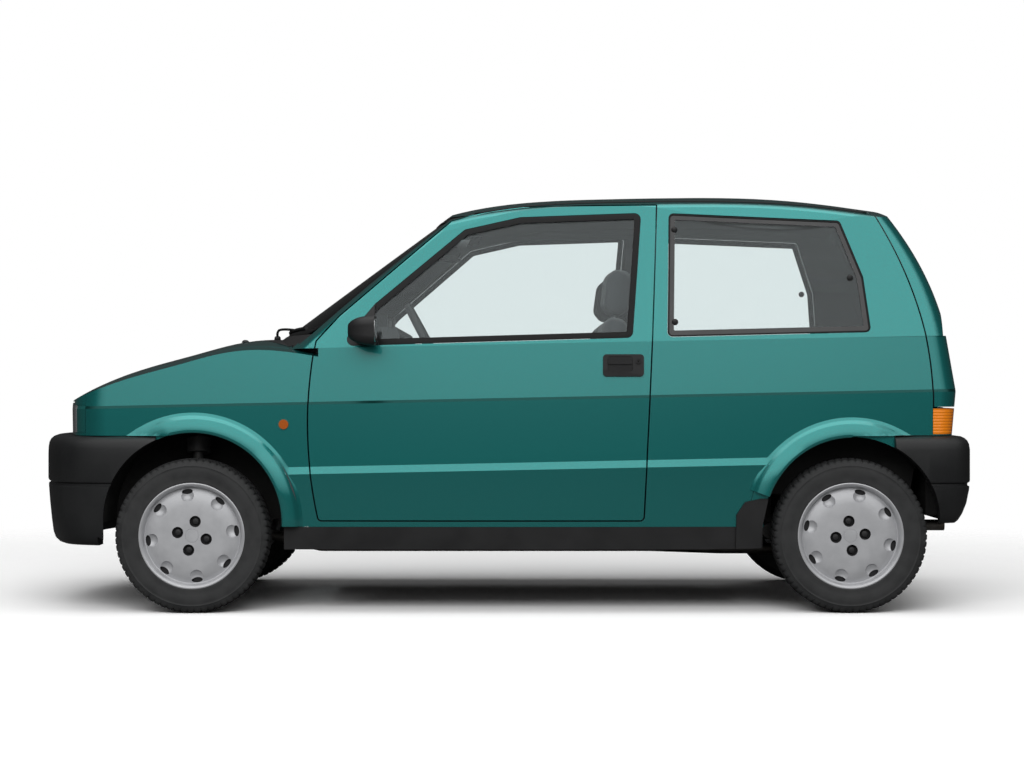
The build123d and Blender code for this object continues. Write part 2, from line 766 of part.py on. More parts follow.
with BuildPart() as bulkhead:
    add(block((604, -700, 441), (616, 700, 930)))
    add(room, mode=Mode.INTERSECT)
    add(floor_pan.part, mode=Mode.SUBTRACT)
finish(bulkhead, "bulkhead")

# ---- Cabin --------------------------------------------------------------------------------

wheel_hub = (225, 330, 883)
column_rise = 28
with BuildPart() as dashboard:
    with BuildSketch(side_plane(-640)):
        with BuildLine():
            Polyline(
                (603, 880), (545, 925), (420, 958), (336, 958), (322, 930), (352, 842), (362, 700),
                (430, 640), (603, 600), close=True,
            )
        make_face()
    extrude(amount=-1280)
    add(block((372, 200, 900), (440, 460, 1003)))
    add(room, mode=Mode.INTERSECT)
    down_column = (cos(radians(column_rise)), 0, -sin(radians(column_rise)))
    column = Plane(origin=wheel_hub, x_dir=(0, 1, 0), z_dir=down_column)
    with BuildSketch(column.offset(34)):
        Circle(32)
    extrude(amount=150)
finish(dashboard, "dashboard")

with BuildPart() as steering_wheel:
    with BuildSketch(Plane(origin=wheel_hub, x_dir=column.z_dir, z_dir=column.x_dir)):
        with Locations((0, 172)):
            Circle(13)
    revolve(axis=Axis(wheel_hub, column.z_dir))
    with BuildSketch(column.offset(-8)):
        Rectangle(340, 44)
        Circle(52)
        with Locations((0, -86)):
            Rectangle(44, 172)
    extrude(amount=26)
    with BuildSketch(column.offset(18)):
        Circle(12)
    extrude(amount=15.6)
finish(steering_wheel, "steering_wheel")

seat_y = 330
with BuildPart() as front_seats:
    for side in (1, -1):
        with BuildSketch(side_plane(side * seat_y - 235)):
            with BuildLine():
                Polyline(
                    (140, 350), (140, 470), (-240, 425), (-332, 900), (-360, 1000), (-450, 1000), (-442, 860),
                    (-350, 330), close=True,
                )
            make_face()
        extrude(amount=-470)
        add(block((-320, side * seat_y - 190, 234.4), (100, side * seat_y + 190, 352)))
        add(block((-470, side * seat_y - 120, 990), (-372, side * seat_y + 120, 1150)))
finish(front_seats, "front_seats")

with BuildPart() as rear_seat:
    with BuildSketch(side_plane(-rear_well_y + 24)):
        with BuildLine():
            Polyline(
                (-690, boot_floor_z + 9.4), (-690, 500), (-1060, 470), (-1190, 960), (-1270, 960),
                (-1150, boot_floor_z + 9.4), close=True,
            )
        make_face()
    extrude(amount=-2 * (rear_well_y - 24))
    add(floor_pan.part, mode=Mode.SUBTRACT)
finish(rear_seat, "rear_seat")

with BuildPart() as parcel_shelf:
    add(block((-1560, -700, 900), (-1272, 700, 914)))
    add(room, mode=Mode.INTERSECT)
finish(parcel_shelf, "parcel_shelf")

# ---- Engine, suspension, tank and exhaust -------------------------------------------------

with BuildPart() as front_suspension:
    add(block((925, -400, 200), (1000, 400, 248)))
    for side in (1, -1):
        low, high = sorted((side * rail_y[0], side * rail_y[1]))
        add(block((925, low, 240), (1000, high, 299.7)))
    lean = radians(steer_tilt)
    for side in (1, -1):
        kingpin = Plane(
            origin=(front_axle_x, side * kingpin_y, kingpin_z), x_dir=(1, 0, 0),
            z_dir=(0, -side * sin(lean), cos(lean)),
        )
        with BuildSketch(Plane.XY.offset(202)):
            with BuildLine():
                Polyline(
                    (930, side * 395), (995, side * 395), (front_axle_x + 18, side * kingpin_y),
                    (front_axle_x - 18, side * kingpin_y), close=True,
                )
            make_face()
        extrude(amount=16)
        with BuildSketch(kingpin):
            Circle(19)
        extrude(amount=18)
        with BuildSketch(kingpin.offset(-40)):
            Circle(8.06)
        extrude(amount=100, mode=Mode.SUBTRACT)
finish(front_suspension, "front_suspension")

with BuildPart() as engine_block:
    add(block((850, -330, 248.3), (1250, 330, 690)))
finish(engine_block, "engine_block")

kingpin_left = Plane(
    origin=(front_axle_x, kingpin_y, kingpin_z), x_dir=(1, 0, 0),
    z_dir=(0, -sin(radians(steer_tilt)), cos(radians(steer_tilt))),
)
with BuildPart() as knuckle:
    with BuildSketch(kingpin_left.offset(-4)):
        Circle(8)
    extrude(amount=34)
    with BuildSketch(kingpin_left.offset(24)):
        Circle(22)
    extrude(amount=100)
    with BuildSketch(kingpin_left.offset(100)):
        Circle(17)
    extrude(amount=300)
    with BuildSketch(kingpin_left.offset(340)):
        Circle(40)
    extrude(amount=50)
    with BuildSketch(Plane(origin=(front_axle_x, 555, wheel_z), x_dir=(1, 0, 0), z_dir=(0, 1, 0))):
        Circle(34)
    extrude(amount=40)
    with BuildSketch(Plane(origin=(front_axle_x, 560, wheel_z), x_dir=(1, 0, 0), z_dir=(0, 1, 0))):
        Circle(spindle_radius)
    extrude(amount=108)
finish_pair(knuckle, "knuckle")

with BuildPart() as rear_axle:
    with BuildSketch(side_plane(-480)):
        with Locations((-940, 262)):
            Circle(26)
    extrude(amount=-960)
    for side in (1, -1):
        with BuildSketch(Plane.XY.offset(232)):
            with BuildLine():
                Polyline(
                    (-922, side * 440), (-960, side * 495), (rear_axle_x - 40, side * 552),
                    (rear_axle_x - 40, side * 515), (-1080, side * 505), (-985, side * 440), close=True,
                )
            make_face()
        extrude(amount=52)
        stub_plane = Plane(origin=(rear_axle_x, side * 530, wheel_z), x_dir=(1, 0, 0), z_dir=(0, side, 0))
        with BuildSketch(stub_plane):
            Circle(34)
        extrude(amount=62)
        with BuildSketch(stub_plane):
            Circle(spindle_radius)
        extrude(amount=134)
        with BuildSketch(Plane.XY.offset(270)):
            with Locations((-1080, side * 460)):
                Circle(42)
        extrude(amount=boot_floor_z - 9 - fit - 270)
        add(block((-1120, side * 475 - 40, 232), (-1040, side * 475 + 40, 284)))
        add(block((-962, side * 300 - 20, 262), (-918, side * 300 + 20, boot_floor_z - floor_wall / 2 - fit)))
finish(rear_axle, "rear_axle")

with BuildPart() as fuel_tank:
    with BuildSketch(side_plane(-470)):
        with BuildLine():
            Polyline(
                (-748, 206), (-748, 318), (-870, 370), (-893, 390.6), (-905, 390.6), (-905, 206), close=True,
            )
        make_face()
    extrude(amount=-940)
finish(fuel_tank, "fuel_tank")

pipe_radius = 19
pipe_wall = 2
tail_length = 62
with BuildPart() as exhaust:
    with BuildLine() as route:
        FilletPolyline(
            (840, 60, 230), (640, 0, 178), (-560, 0, 178), (-800, 120, 178), (-1220, 120, 178),
            (-1366, 120, 250), radius=60,
        )
    with BuildSketch(Plane(origin=route.line @ 0, z_dir=route.line % 0)):
        Circle(pipe_radius)
    sweep()
    with BuildSketch(side_plane(-200)):
        with Locations((-1366, 262)):
            Ellipse(72, 58)
    extrude(amount=-520)
    with BuildLine() as tail:
        FilletPolyline((-1366, 300, 281), (-1366, 452, 281), (-1480, 452, 281), radius=60)
    with BuildSketch(Plane(origin=tail.line @ 0, z_dir=tail.line % 0)):
        Circle(pipe_radius)
    sweep()
    add(block((-1376, -100, 300), (-1356, -80, boot_floor_z - floor_wall / 2 - fit)))
    tail_end = Plane(origin=tail.line @ 1, z_dir=tail.line % 1)
    with BuildSketch(tail_end):
        Circle(pipe_radius)
    extrude(amount=tail_length)
    with BuildSketch(tail_end):
        Circle(pipe_radius - pipe_wall)
    extrude(amount=tail_length, mode=Mode.SUBTRACT)
finish(exhaust, "exhaust")

# ---- Wheels -------------------------------------------------------------------------------

hub_face = 35
vent_count = 8
vent_radius = 137
bolt_count = 4
bolt_circle = 98
cover_hole_radius = 18
cover_depth = 20

# each end with its axle, track, and the turn of its cover's vents and of its bolts
for end, axle_x, track, vent_turn, bolt_turn in (
    ("front", front_axle_x, track_front, -83.6, -102.9),
    ("rear", rear_axle_x, track_rear, -103, -83.7),
):
    middle_y = track / 2
    half = tyre_width / 2
    spin = Axis((axle_x, middle_y, wheel_z), (0, 1, 0))
    section_plane = Plane(origin=(axle_x, middle_y, wheel_z), x_dir=(0, 1, 0), z_dir=(1, 0, 0))
    with BuildPart() as tyre:
        with BuildSketch(section_plane):
            with BuildLine():
                Polyline(
                    (-half + 9, rim_radius + 5), (-half, rim_radius + 40), (-half + 8, tyre_radius - 10),
                    (-half + 20, tyre_radius), (half - 20, tyre_radius), (half - 8, tyre_radius - 10),
                    (half, rim_radius + 40), (half - 9, rim_radius + 5), close=True,
                )
            make_face()
        revolve(axis=spin)
    finish_pair(tyre, f"tyre_{end}")

    with BuildPart() as wheel:
        with BuildSketch(section_plane):
            with BuildLine():
                Polyline(
                    (-half + 9, rim_radius + 4.6), (half - 9, rim_radius + 4.6), (half - 4, rim_radius + 14),
                    (half - 2, rim_radius + 14), (half - 2, rim_radius - 6), (half - 14, 120), (half - 8, 90),
                    (half - 12, 0), (hub_face + 4, 0), (hub_face + 4, spindle_radius + bearing_gap),
                    (-14, spindle_radius + bearing_gap), (-14, 40), (-6, 108), (2, 108), (2, 44),
                    (hub_face, 44), (hub_face, 130), (half - 26, rim_radius - 14),
                    (-half + 9, rim_radius - 6), close=True,
                )
            make_face()
        revolve(axis=spin)
        cover = Plane(origin=(axle_x, middle_y + half - 2, wheel_z), x_dir=(1, 0, 0), z_dir=(0, 1, 0))
        with BuildSketch(cover):
            with PolarLocations(vent_radius, vent_count, start_angle=vent_turn):
                Ellipse(11, 15)
            with PolarLocations(bolt_circle / 2, bolt_count, start_angle=bolt_turn):
                Circle(cover_hole_radius)
        extrude(amount=-cover_depth, mode=Mode.SUBTRACT)
        with BuildSketch(cover.offset(-cover_depth)):
            with PolarLocations(bolt_circle / 2, bolt_count, start_angle=bolt_turn):
                RegularPolygon(9.5, 6)
        extrude(amount=7)
    finish_pair(wheel, f"wheel_{end}")

# ---- Wipers -------------------------------------------------------------------------------


wiper_lift = 9.3


def screen_point(y, z, lift):
    """A point over the windscreen, lifted forwards from the glass."""
    (low_h, low_y, low_x, _, low_bow), (high_h, high_y, high_x, _, high_bow) = UPPER_LEVELS[:2]
    share = (z + 14 - low_h) / (high_h - low_h)
    bow = low_bow + share * (high_bow - low_bow)
    half_width = low_y + share * (high_y - low_y) - 22
    return (low_x + share * (high_x - low_x) - bow * (y / half_width) ** 2 + lift, y, z)


with BuildPart() as wipers_front:
    for tip_y, root_y in ((470, 40), (-70, -500)):
        with BuildLine() as blade:
            ThreePointArc(
                screen_point(tip_y, 958, wiper_lift), screen_point((tip_y + root_y) / 2, 954, wiper_lift),
                screen_point(root_y, 950, wiper_lift),
            )
        with BuildSketch(Plane(origin=blade.line @ 0, z_dir=blade.line % 0)):
            Circle(6)
        sweep()
finish(wipers_front, "wipers_front")
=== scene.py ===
import bmesh
import bpy
import json
import math
from mathutils import Matrix, Vector
from mathutils.bvhtree import BVHTree

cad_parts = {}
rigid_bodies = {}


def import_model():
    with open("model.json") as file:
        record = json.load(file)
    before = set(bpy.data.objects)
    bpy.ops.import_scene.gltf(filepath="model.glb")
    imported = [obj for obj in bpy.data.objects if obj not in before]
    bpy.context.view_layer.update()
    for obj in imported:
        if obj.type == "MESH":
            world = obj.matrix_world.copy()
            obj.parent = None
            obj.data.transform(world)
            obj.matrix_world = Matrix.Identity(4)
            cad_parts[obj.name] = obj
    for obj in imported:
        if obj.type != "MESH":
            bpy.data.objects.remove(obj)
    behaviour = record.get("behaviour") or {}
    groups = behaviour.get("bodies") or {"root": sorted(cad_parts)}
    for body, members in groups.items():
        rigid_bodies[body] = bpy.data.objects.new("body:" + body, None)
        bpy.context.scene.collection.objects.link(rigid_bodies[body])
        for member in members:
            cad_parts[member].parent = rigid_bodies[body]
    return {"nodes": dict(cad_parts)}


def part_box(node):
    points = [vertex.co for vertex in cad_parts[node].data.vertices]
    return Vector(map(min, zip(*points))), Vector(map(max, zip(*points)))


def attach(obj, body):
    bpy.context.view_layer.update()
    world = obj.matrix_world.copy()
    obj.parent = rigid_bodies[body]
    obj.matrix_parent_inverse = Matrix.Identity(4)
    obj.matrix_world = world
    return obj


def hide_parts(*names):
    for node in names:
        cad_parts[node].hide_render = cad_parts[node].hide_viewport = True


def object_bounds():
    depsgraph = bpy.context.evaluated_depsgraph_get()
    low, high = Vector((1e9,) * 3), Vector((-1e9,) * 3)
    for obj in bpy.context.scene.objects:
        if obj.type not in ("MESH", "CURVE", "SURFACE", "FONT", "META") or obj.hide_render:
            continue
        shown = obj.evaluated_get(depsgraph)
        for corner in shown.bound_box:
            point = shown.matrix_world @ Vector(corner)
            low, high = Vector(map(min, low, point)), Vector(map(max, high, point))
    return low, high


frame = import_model()
nodes = frame["nodes"]
cad_low, cad_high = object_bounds()

# ---- Camera ----
# A camera on a tripod at the height of the door handles, square to the car's left side and far
# enough back that the near and the far wheels almost cover each other.
scene_objects = bpy.context.scene.collection.objects
side_camera = bpy.data.cameras.new("side_camera")
side_camera.lens = 79.1
side_camera.sensor_width = 36
side_camera.shift_y = 0.0088
camera_stand = bpy.data.objects.new("side_camera", side_camera)
camera_stand.location = (-0.0555, 8.2, 0.735)
camera_stand.rotation_euler = (math.radians(90), 0, math.radians(180))
scene_objects.link(camera_stand)
bpy.context.scene.camera = camera_stand

# ---- Studio ----
# A white room with a softer light from low down, one wide soft lamp overhead and one on each
# side. The floor is pale where it is seen, fades into the room, and keeps the car's shadow.


def add(tree, kind, sockets=None, **settings):
    """A new shader node. A socket given another node's output is fed by it, else it holds the value."""
    node = tree.nodes.new(f"ShaderNode{kind}")
    for key, value in settings.items():
        setattr(node, key, value)
    for key, value in (sockets or {}).items():
        if isinstance(value, bpy.types.NodeSocket):
            tree.links.new(value, node.inputs[key])
        else:
            node.inputs[key].default_value = value
    return node


def calc(tree, operation, *values):
    """What one sum or test makes of plain numbers and other nodes' outputs."""
    return add(tree, "Math", dict(enumerate(values)), operation=operation).outputs[0]


def mixed(tree, share, first, second):
    """Two shaders blended, from all of the first at a share of 0 to all of the second at 1."""
    return add(tree, "MixShader", {0: share, 1: first, 2: second}).outputs[0]


bpy.context.scene.view_settings.view_transform = "Standard"
studio = bpy.data.worlds.new("white_studio")
bpy.context.scene.world = studio
studio.use_nodes = True
air = studio.node_tree
air.nodes.clear()
ray = add(air, "LightPath").outputs
white_rays = calc(air, "MAXIMUM", ray["Is Camera Ray"], ray["Is Transmission Ray"])
way = add(air, "TexCoord").outputs["Generated"]
# the room is brightest above the near side and darkest low down on the far side
height = add(air, "VectorMath", {0: way, 1: (0, 0.6, 0.8)}, operation="DOT_PRODUCT").outputs["Value"]
climb = add(air, "MapRange", {
    "Value": height, "From Min": 0.55, "From Max": 0.8, "To Min": 0.04, "To Max": 1.25,
})
backdrop = add(air, "Background", {"Color": (1, 1, 1, 1)}).outputs[0]
soft = add(air, "Background", {"Color": (1, 1, 1, 1), "Strength": climb.outputs["Result"]}).outputs[0]
add(air, "OutputWorld", {"Surface": mixed(air, white_rays, soft, backdrop)})

floor_half = 30
floor_mesh = bpy.data.meshes.new("studio_floor")
floor_corners = [(x * floor_half, y * floor_half, 0) for x, y in ((-1, -1), (1, -1), (1, 1), (-1, 1))]
floor_mesh.from_pydata(floor_corners, [], [(0, 1, 2, 3)])
studio_floor = bpy.data.objects.new("studio_floor", floor_mesh)
studio_floor.location = (0, 0, cad_low.z - 0.001)
scene_objects.link(studio_floor)
floor_paint = bpy.data.materials.new("floor_paint")
floor_paint.use_nodes = True
tree = floor_paint.node_tree
tree.nodes.clear()
seen = add(tree, "LightPath").outputs["Is Camera Ray"]
shade = add(tree, "MapRange", {"Value": seen, "To Min": 0.12, "To Max": 1.05}).outputs["Result"]
matt = add(tree, "BsdfDiffuse", {"Color": shade}).outputs[0]
clear = add(tree, "BsdfTransparent").outputs[0]
where = add(tree, "TexCoord").outputs["Object"]
reach = add(tree, "VectorMath", {0: where}, operation="LENGTH").outputs["Value"]
fade = add(
    tree, "MapRange", {"Value": reach, "From Min": 2.3, "From Max": 5.0}, interpolation_type="SMOOTHSTEP",
)
add(tree, "OutputMaterial", {"Surface": mixed(tree, fade.outputs["Result"], matt, clear)})
floor_mesh.materials.append(floor_paint)

for name, place, aim, size, power in (
    ("overhead", (0, 0, 4.6), (0, 0, 0), (6, 4), 60),
    ("near_side", (0.6, 6.0, 3.4), (0, 0, 0.6), (5, 2), 240),
    ("far_side", (-1.0, -5.5, 3.6), (0, 0, 0.6), (5, 2), 40),
):
    lamp = bpy.data.lights.new(name, "AREA")
    lamp.shape = "RECTANGLE"
    lamp.size, lamp.size_y = size
    lamp.energy = power
    holder = bpy.data.objects.new(name, lamp)
    holder.location = place
    holder.rotation_euler = (Vector(aim) - Vector(place)).to_track_quat("-Z", "Y").to_euler()
    holder.visible_glossy = name == "overhead"
    scene_objects.link(holder)

# ---- Floor, bulkhead and running gear ----
# Welded steel floor and bulkhead under black underseal, a cast engine and uprights, satin black
# axle and arms, a moulded tank and a dull steel exhaust. Cast, sprayed and drawn surfaces differ
# in grain, so each finish gets its own bumps and its own patches of shine.


def finish(name, metallic, colour=(0.5, 0.5, 0.5), roughness=0.5, coat=0.0):
    """A new material and its surface shader, with plain values set on the shader's own sockets."""
    material = bpy.data.materials.new(name)
    material.use_nodes = True
    surface = material.node_tree.nodes["Principled BSDF"]
    surface.inputs["Base Color"].default_value = (*colour, 1)
    surface.inputs["Metallic"].default_value = metallic
    surface.inputs["Roughness"].default_value = roughness
    surface.inputs["Coat Weight"].default_value = coat
    surface.inputs["Coat Roughness"].default_value = 0.05
    return material, surface


def raised(surface, pattern, depth, distance):
    """Raises a surface where a pattern is bright."""
    tree = surface.id_data
    bump = add(tree, "Bump", {"Height": pattern, "Strength": depth, "Distance": distance})
    tree.links.new(bump.outputs["Normal"], surface.inputs["Normal"])


def grain(surface, scale, depth, distance=0.001):
    """Fine raised grain over a surface."""
    tree = surface.id_data
    where = add(tree, "TexCoord").outputs["Object"]
    noise = add(tree, "TexNoise", {"Vector": where, "Scale": scale, "Detail": 4})
    raised(surface, noise.outputs["Fac"], depth, distance)


def stops(tree, share, first, *others, blend="LINEAR"):
    """Colours along a share from 0 to 1, each given as its place and its colour."""
    ramp = add(tree, "ValToRGB", {"Fac": share})
    ramp.color_ramp.interpolation = blend
    for element, (place, colour) in zip(ramp.color_ramp.elements, (first, others[-1])):
        element.position = place
        element.color = (*colour, 1)
    for place, colour in others[:-1]:
        ramp.color_ramp.elements.new(place).color = (*colour, 1)
    return ramp.outputs["Color"]


def patches(surface, scale, dark, light, smooth, rough):
    """Slow changes of colour and shine, as dirt, wear and casting leave them."""
    tree = surface.id_data
    surface.inputs["Base Color"].default_value = (*light, 1)
    surface.inputs["Roughness"].default_value = rough
    where = add(tree, "TexCoord").outputs["Object"]
    noise = add(tree, "TexNoise", {"Vector": where, "Scale": scale, "Detail": 6}).outputs["Fac"]
    tree.links.new(stops(tree, noise, (0.35, dark), (0.65, light)), surface.inputs["Base Color"])
    shine = add(tree, "MapRange", {
        "Value": noise, "From Min": 0.3, "From Max": 0.7, "To Min": smooth, "To Max": rough,
    })
    tree.links.new(shine.outputs["Result"], surface.inputs["Roughness"])


def cover(material, *names):
    """Gives CAD nodes this material in place of their plain one."""
    for name in names:
        nodes[name].data.materials.clear()
        nodes[name].data.materials.append(material)


underseal, surface = finish("underseal", 0.0)
grain(surface, 160, 0.6)
patches(surface, 9, (0.009, 0.009, 0.009), (0.02, 0.02, 0.019), 0.7, 0.95)
cover(underseal, "floor_pan", "bulkhead")
cast_iron, surface = finish("cast_iron", 0.7)
grain(surface, 260, 0.5)
patches(surface, 14, (0.07, 0.068, 0.065), (0.15, 0.15, 0.155), 0.45, 0.75)
cover(cast_iron, "engine_block", "knuckle_left", "knuckle_right")
axle_paint, surface = finish("axle_paint", 0.0)
grain(surface, 90, 0.15)
patches(surface, 12, (0.014, 0.014, 0.014), (0.03, 0.029, 0.027), 0.35, 0.65)
cover(axle_paint, "front_suspension", "rear_axle")
tank_skin, surface = finish("tank_skin", 0.0)
grain(surface, 220, 0.3)
patches(surface, 8, (0.016, 0.016, 0.016), (0.028, 0.028, 0.027), 0.45, 0.65)
cover(tank_skin, "fuel_tank")
pipe_steel, surface = finish("pipe_steel", 0.9)
grain(surface, 300, 0.2)
patches(surface, 18, (0.1, 0.085, 0.07), (0.24, 0.23, 0.22), 0.4, 0.7)
cover(pipe_steel, "exhaust")

# ---- Tyres ----
# Road tyres moulded in black rubber: three grooves round the tread, slots cut across its
# shoulders, and rings on the sidewall. Each is one closed form turned about the axle.
tyre_rubber, surface = finish("tyre_rubber", 0.0)
grain(surface, 500, 0.25, 0.0004)
patches(surface, 25, (0.018, 0.0185, 0.019), (0.028, 0.0285, 0.029), 0.5, 0.7)
tyre_low, tyre_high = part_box("tyre_front_left")
tyre_radius = (tyre_high.z - tyre_low.z) / 2
half_tyre = (tyre_high.y - tyre_low.y) / 2
bead_radius = 0.17
groove_radius = 0.2505
# across the tyre: share of half the width, radius, and how deep a slot is cut there
tyre_section = (
    (0.86, bead_radius, 0), (0.93, 0.176, 0), (0.955, 0.18, 0), (0.945, 0.184, 0), (0.985, 0.2, 0),
    (1.0, 0.214, 0), (0.992, 0.226, 0), (0.975, 0.232, 0), (0.985, 0.2335, 0), (0.965, 0.236, 0),
    (0.93, 0.2425, 0.0), (0.925, 0.2435, 0.003), (0.88, 0.2515, 0.005), (0.8, 0.256, 0.006),
    (0.62, tyre_radius - 0.0006, 0.006), (0.58, tyre_radius - 0.0004, 0.003), (0.565, groove_radius, 0),
    (0.505, groove_radius, 0), (0.49, tyre_radius, 0.003), (0.3, tyre_radius, 0.005),
    (0.08, tyre_radius, 0.003), (0.065, groove_radius, 0),
)
tyre_section += tuple((-a, r, d) for a, r, d in reversed(tyre_section))
slot_count = 68
steps_per_slot = 5
slot_skew = 2.0


def outward(mesh):
    """Turns the faces of a closed mesh to look outwards."""
    shape = bmesh.new()
    shape.from_mesh(mesh)
    bmesh.ops.recalc_face_normals(shape, faces=shape.faces)
    shape.to_mesh(mesh)
    shape.free()


def skinned(name, rings, endless=False):
    """A closed form over like rings of points, its ends capped, or joined where it is endless."""
    count, last = len(rings[0]), len(rings) - 1
    faces = []
    for k in range(last + endless):
        here, there = k * count, (k + 1) % len(rings) * count
        for i in range(count):
            j = (i + 1) % count
            faces.append((here + i, here + j, there + j, there + i))
    if not endless:
        faces += [tuple(range(count)), tuple(range(last * count, len(rings) * count))]
    mesh = bpy.data.meshes.new(name)
    mesh.from_pydata([point for ring in rings for point in ring], [], faces)
    outward(mesh)
    return mesh


def smooth(mesh, degrees):
    """Smooth faces, with an edge kept crisp where they turn by more than this."""
    mesh.shade_smooth()
    mesh.set_sharp_from_angle(angle=math.radians(degrees))


def fit(mesh, body, material=None, place=None):
    """A piece made of this mesh, in the car's own frame, riding on a body."""
    if place:
        mesh.transform(Matrix.Translation(place))
    piece = bpy.data.objects.new(mesh.name, mesh)
    scene_objects.link(piece)
    if material:
        mesh.materials.clear()
        mesh.materials.append(material)
    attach(piece, body)
    return piece


tyre_rings = []
tyre_steps = slot_count * steps_per_slot
for step in range(tyre_steps):
    ring = []
    for across, radius, slot_depth in tyre_section:
        turn = 2 * math.pi * (step + slot_skew * across) / tyre_steps
        r = radius - (slot_depth if step % steps_per_slot == 0 else 0)
        ring.append((r * math.sin(turn), across * half_tyre, r * math.cos(turn)))
    tyre_rings.append(ring)
axle_of = {}
for corner in ("front_left", "front_right", "rear_left", "rear_right"):
    low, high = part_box(f"tyre_{corner}")
    axle_of[corner] = (low + high) / 2
    mesh = skinned(f"tyre_tread_{corner}", tyre_rings, True)
    smooth(mesh, 40)
    tyre = fit(mesh, f"{corner}_wheel", tyre_rubber, axle_of[corner])
    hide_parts(f"tyre_{corner}")

# ---- Wheels ----
# A steel wheel behind a moulded cover in silver lacquer. The cover is a shallow dome with a
# rolled rim, eight scooped air holes near its edge, four holes for the bolts and a plain centre.
wheel_silver, surface = finish("wheel_silver", 0.35, coat=0.4)
grain(surface, 900, 0.08, 0.0003)
patches(surface, 30, (0.43, 0.435, 0.45), (0.47, 0.475, 0.49), 0.33, 0.45)
# painted shade: the walls and floors of the air holes and bolt holes are near black, standing in for the
# shade deep inside them
wheel_hole_shade, surface = finish("wheel_hole_shade", 0.0, (0.012, 0.012, 0.013), 0.6)
grain(surface, 300, 0.3)
bolt_black, surface = finish("bolt_black", 0.1, (0.02, 0.02, 0.021), 0.4)
grain(surface, 400, 0.2, 0.0004)
# the wheel's section in metres: radius, and height outwards from the middle of the tyre
wheel_section = (
    (0, 0.055), (0.021, 0.055), (0.0218, 0.0538), (0.0228, 0.0538), (0.0236, 0.055), (0.07, 0.0552),
    (0.105, 0.0545), (0.122, 0.053), (0.138, 0.0495), (0.15, 0.045), (0.1555, 0.042), (0.158, 0.0405),
    (0.1605, 0.041), (0.1625, 0.045), (0.164, 0.053), (0.1665, 0.059), (0.17, 0.063),
    (0.174, 0.0645), (0.177, 0.0635), (0.1788, 0.06), (0.1785, 0.056), (0.1755, 0.054),
    (0.17, 0.052), (0.1698, -0.056), (0.1755, -0.059), (0.176, -0.061), (0.16, -0.061),
    (0.158, -0.056), (0.154, 0.01), (0.13, 0.034), (0.044, 0.034), (0.044, 0.0),
    (0.108, 0.0), (0.108, -0.006), (0.04, -0.014), (0.015, -0.014), (0.015, 0.034), (0, 0.034),
)
bolt_section = (
    (0, 0.0465), (0.0075, 0.0465), (0.01, 0.0455), (0.011, 0.0435), (0.0112, 0.0345), (0, 0.0345),
)
bolt_circle = 0.049
both_sides = ((1, "left"), (-1, "right"))


def turned(name, section, steps):
    """A closed form turned about Y from points of radius and height, clean where it meets the axis."""
    turns = [2 * math.pi * s / steps for s in range(steps)]
    rings = [[(r * math.sin(turn), y, r * math.cos(turn)) for r, y in section] for turn in turns]
    mesh = skinned(name, rings, True)
    shape = bmesh.new()
    shape.from_mesh(mesh)
    bmesh.ops.remove_doubles(shape, verts=shape.verts, dist=1e-6)
    bmesh.ops.dissolve_degenerate(shape, dist=1e-6, edges=shape.edges)
    bmesh.ops.recalc_face_normals(shape, faces=shape.faces)
    shape.to_mesh(mesh)
    shape.free()
    return mesh


def handed(mesh, side):
    """The same form, or for the car's right side its mirror image."""
    if side < 0:
        mesh.transform(Matrix.Scale(-1, 4, (0, 1, 0)))
        mesh.flip_normals()
    return mesh


def carved(blank, cutters):
    """The blank with each cutter's shape taken out, the cut faces in the cutter's material."""
    block = bpy.data.objects.new("blank", blank)
    scene_objects.link(block)
    tools = []
    for mesh in cutters:
        tool = bpy.data.objects.new("cutter", mesh)
        scene_objects.link(tool)
        tools.append(tool)
        cut = block.modifiers.new("cut", "BOOLEAN")
        cut.operation = "DIFFERENCE"
        cut.solver = "EXACT"
        cut.material_mode = "TRANSFER"
        cut.object = tool
    made = bpy.data.meshes.new_from_object(block.evaluated_get(bpy.context.evaluated_depsgraph_get()))
    for thing in (block, *tools):
        bpy.data.objects.remove(thing)
    return made


def ring_of(name, count, radius, turn, height, sizes, material, domed):
    """Like cutters spaced round the wheel: domes, or posts with a rounded outline."""
    shape = bmesh.new()
    for i in range(count):
        angle = math.radians(turn + 360 * i / count)
        if domed:
            made = bmesh.ops.create_uvsphere(shape, u_segments=40, v_segments=24, radius=1)
        else:
            made = bmesh.ops.create_cone(shape, cap_ends=True, segments=40, radius1=1, radius2=1, depth=2)
            upright = Matrix.Rotation(math.radians(90), 3, "X")
            bmesh.ops.rotate(shape, verts=made["verts"], matrix=upright)
        bmesh.ops.scale(shape, verts=made["verts"], vec=sizes)
        bmesh.ops.translate(shape, verts=made["verts"], vec=(radius, height, 0))
        to_place = Matrix.Rotation(-angle, 3, "Y")
        bmesh.ops.rotate(shape, verts=made["verts"], cent=(0, 0, 0), matrix=to_place)
    mesh = bpy.data.meshes.new(name)
    shape.to_mesh(mesh)
    shape.free()
    mesh.materials.append(material)
    return mesh


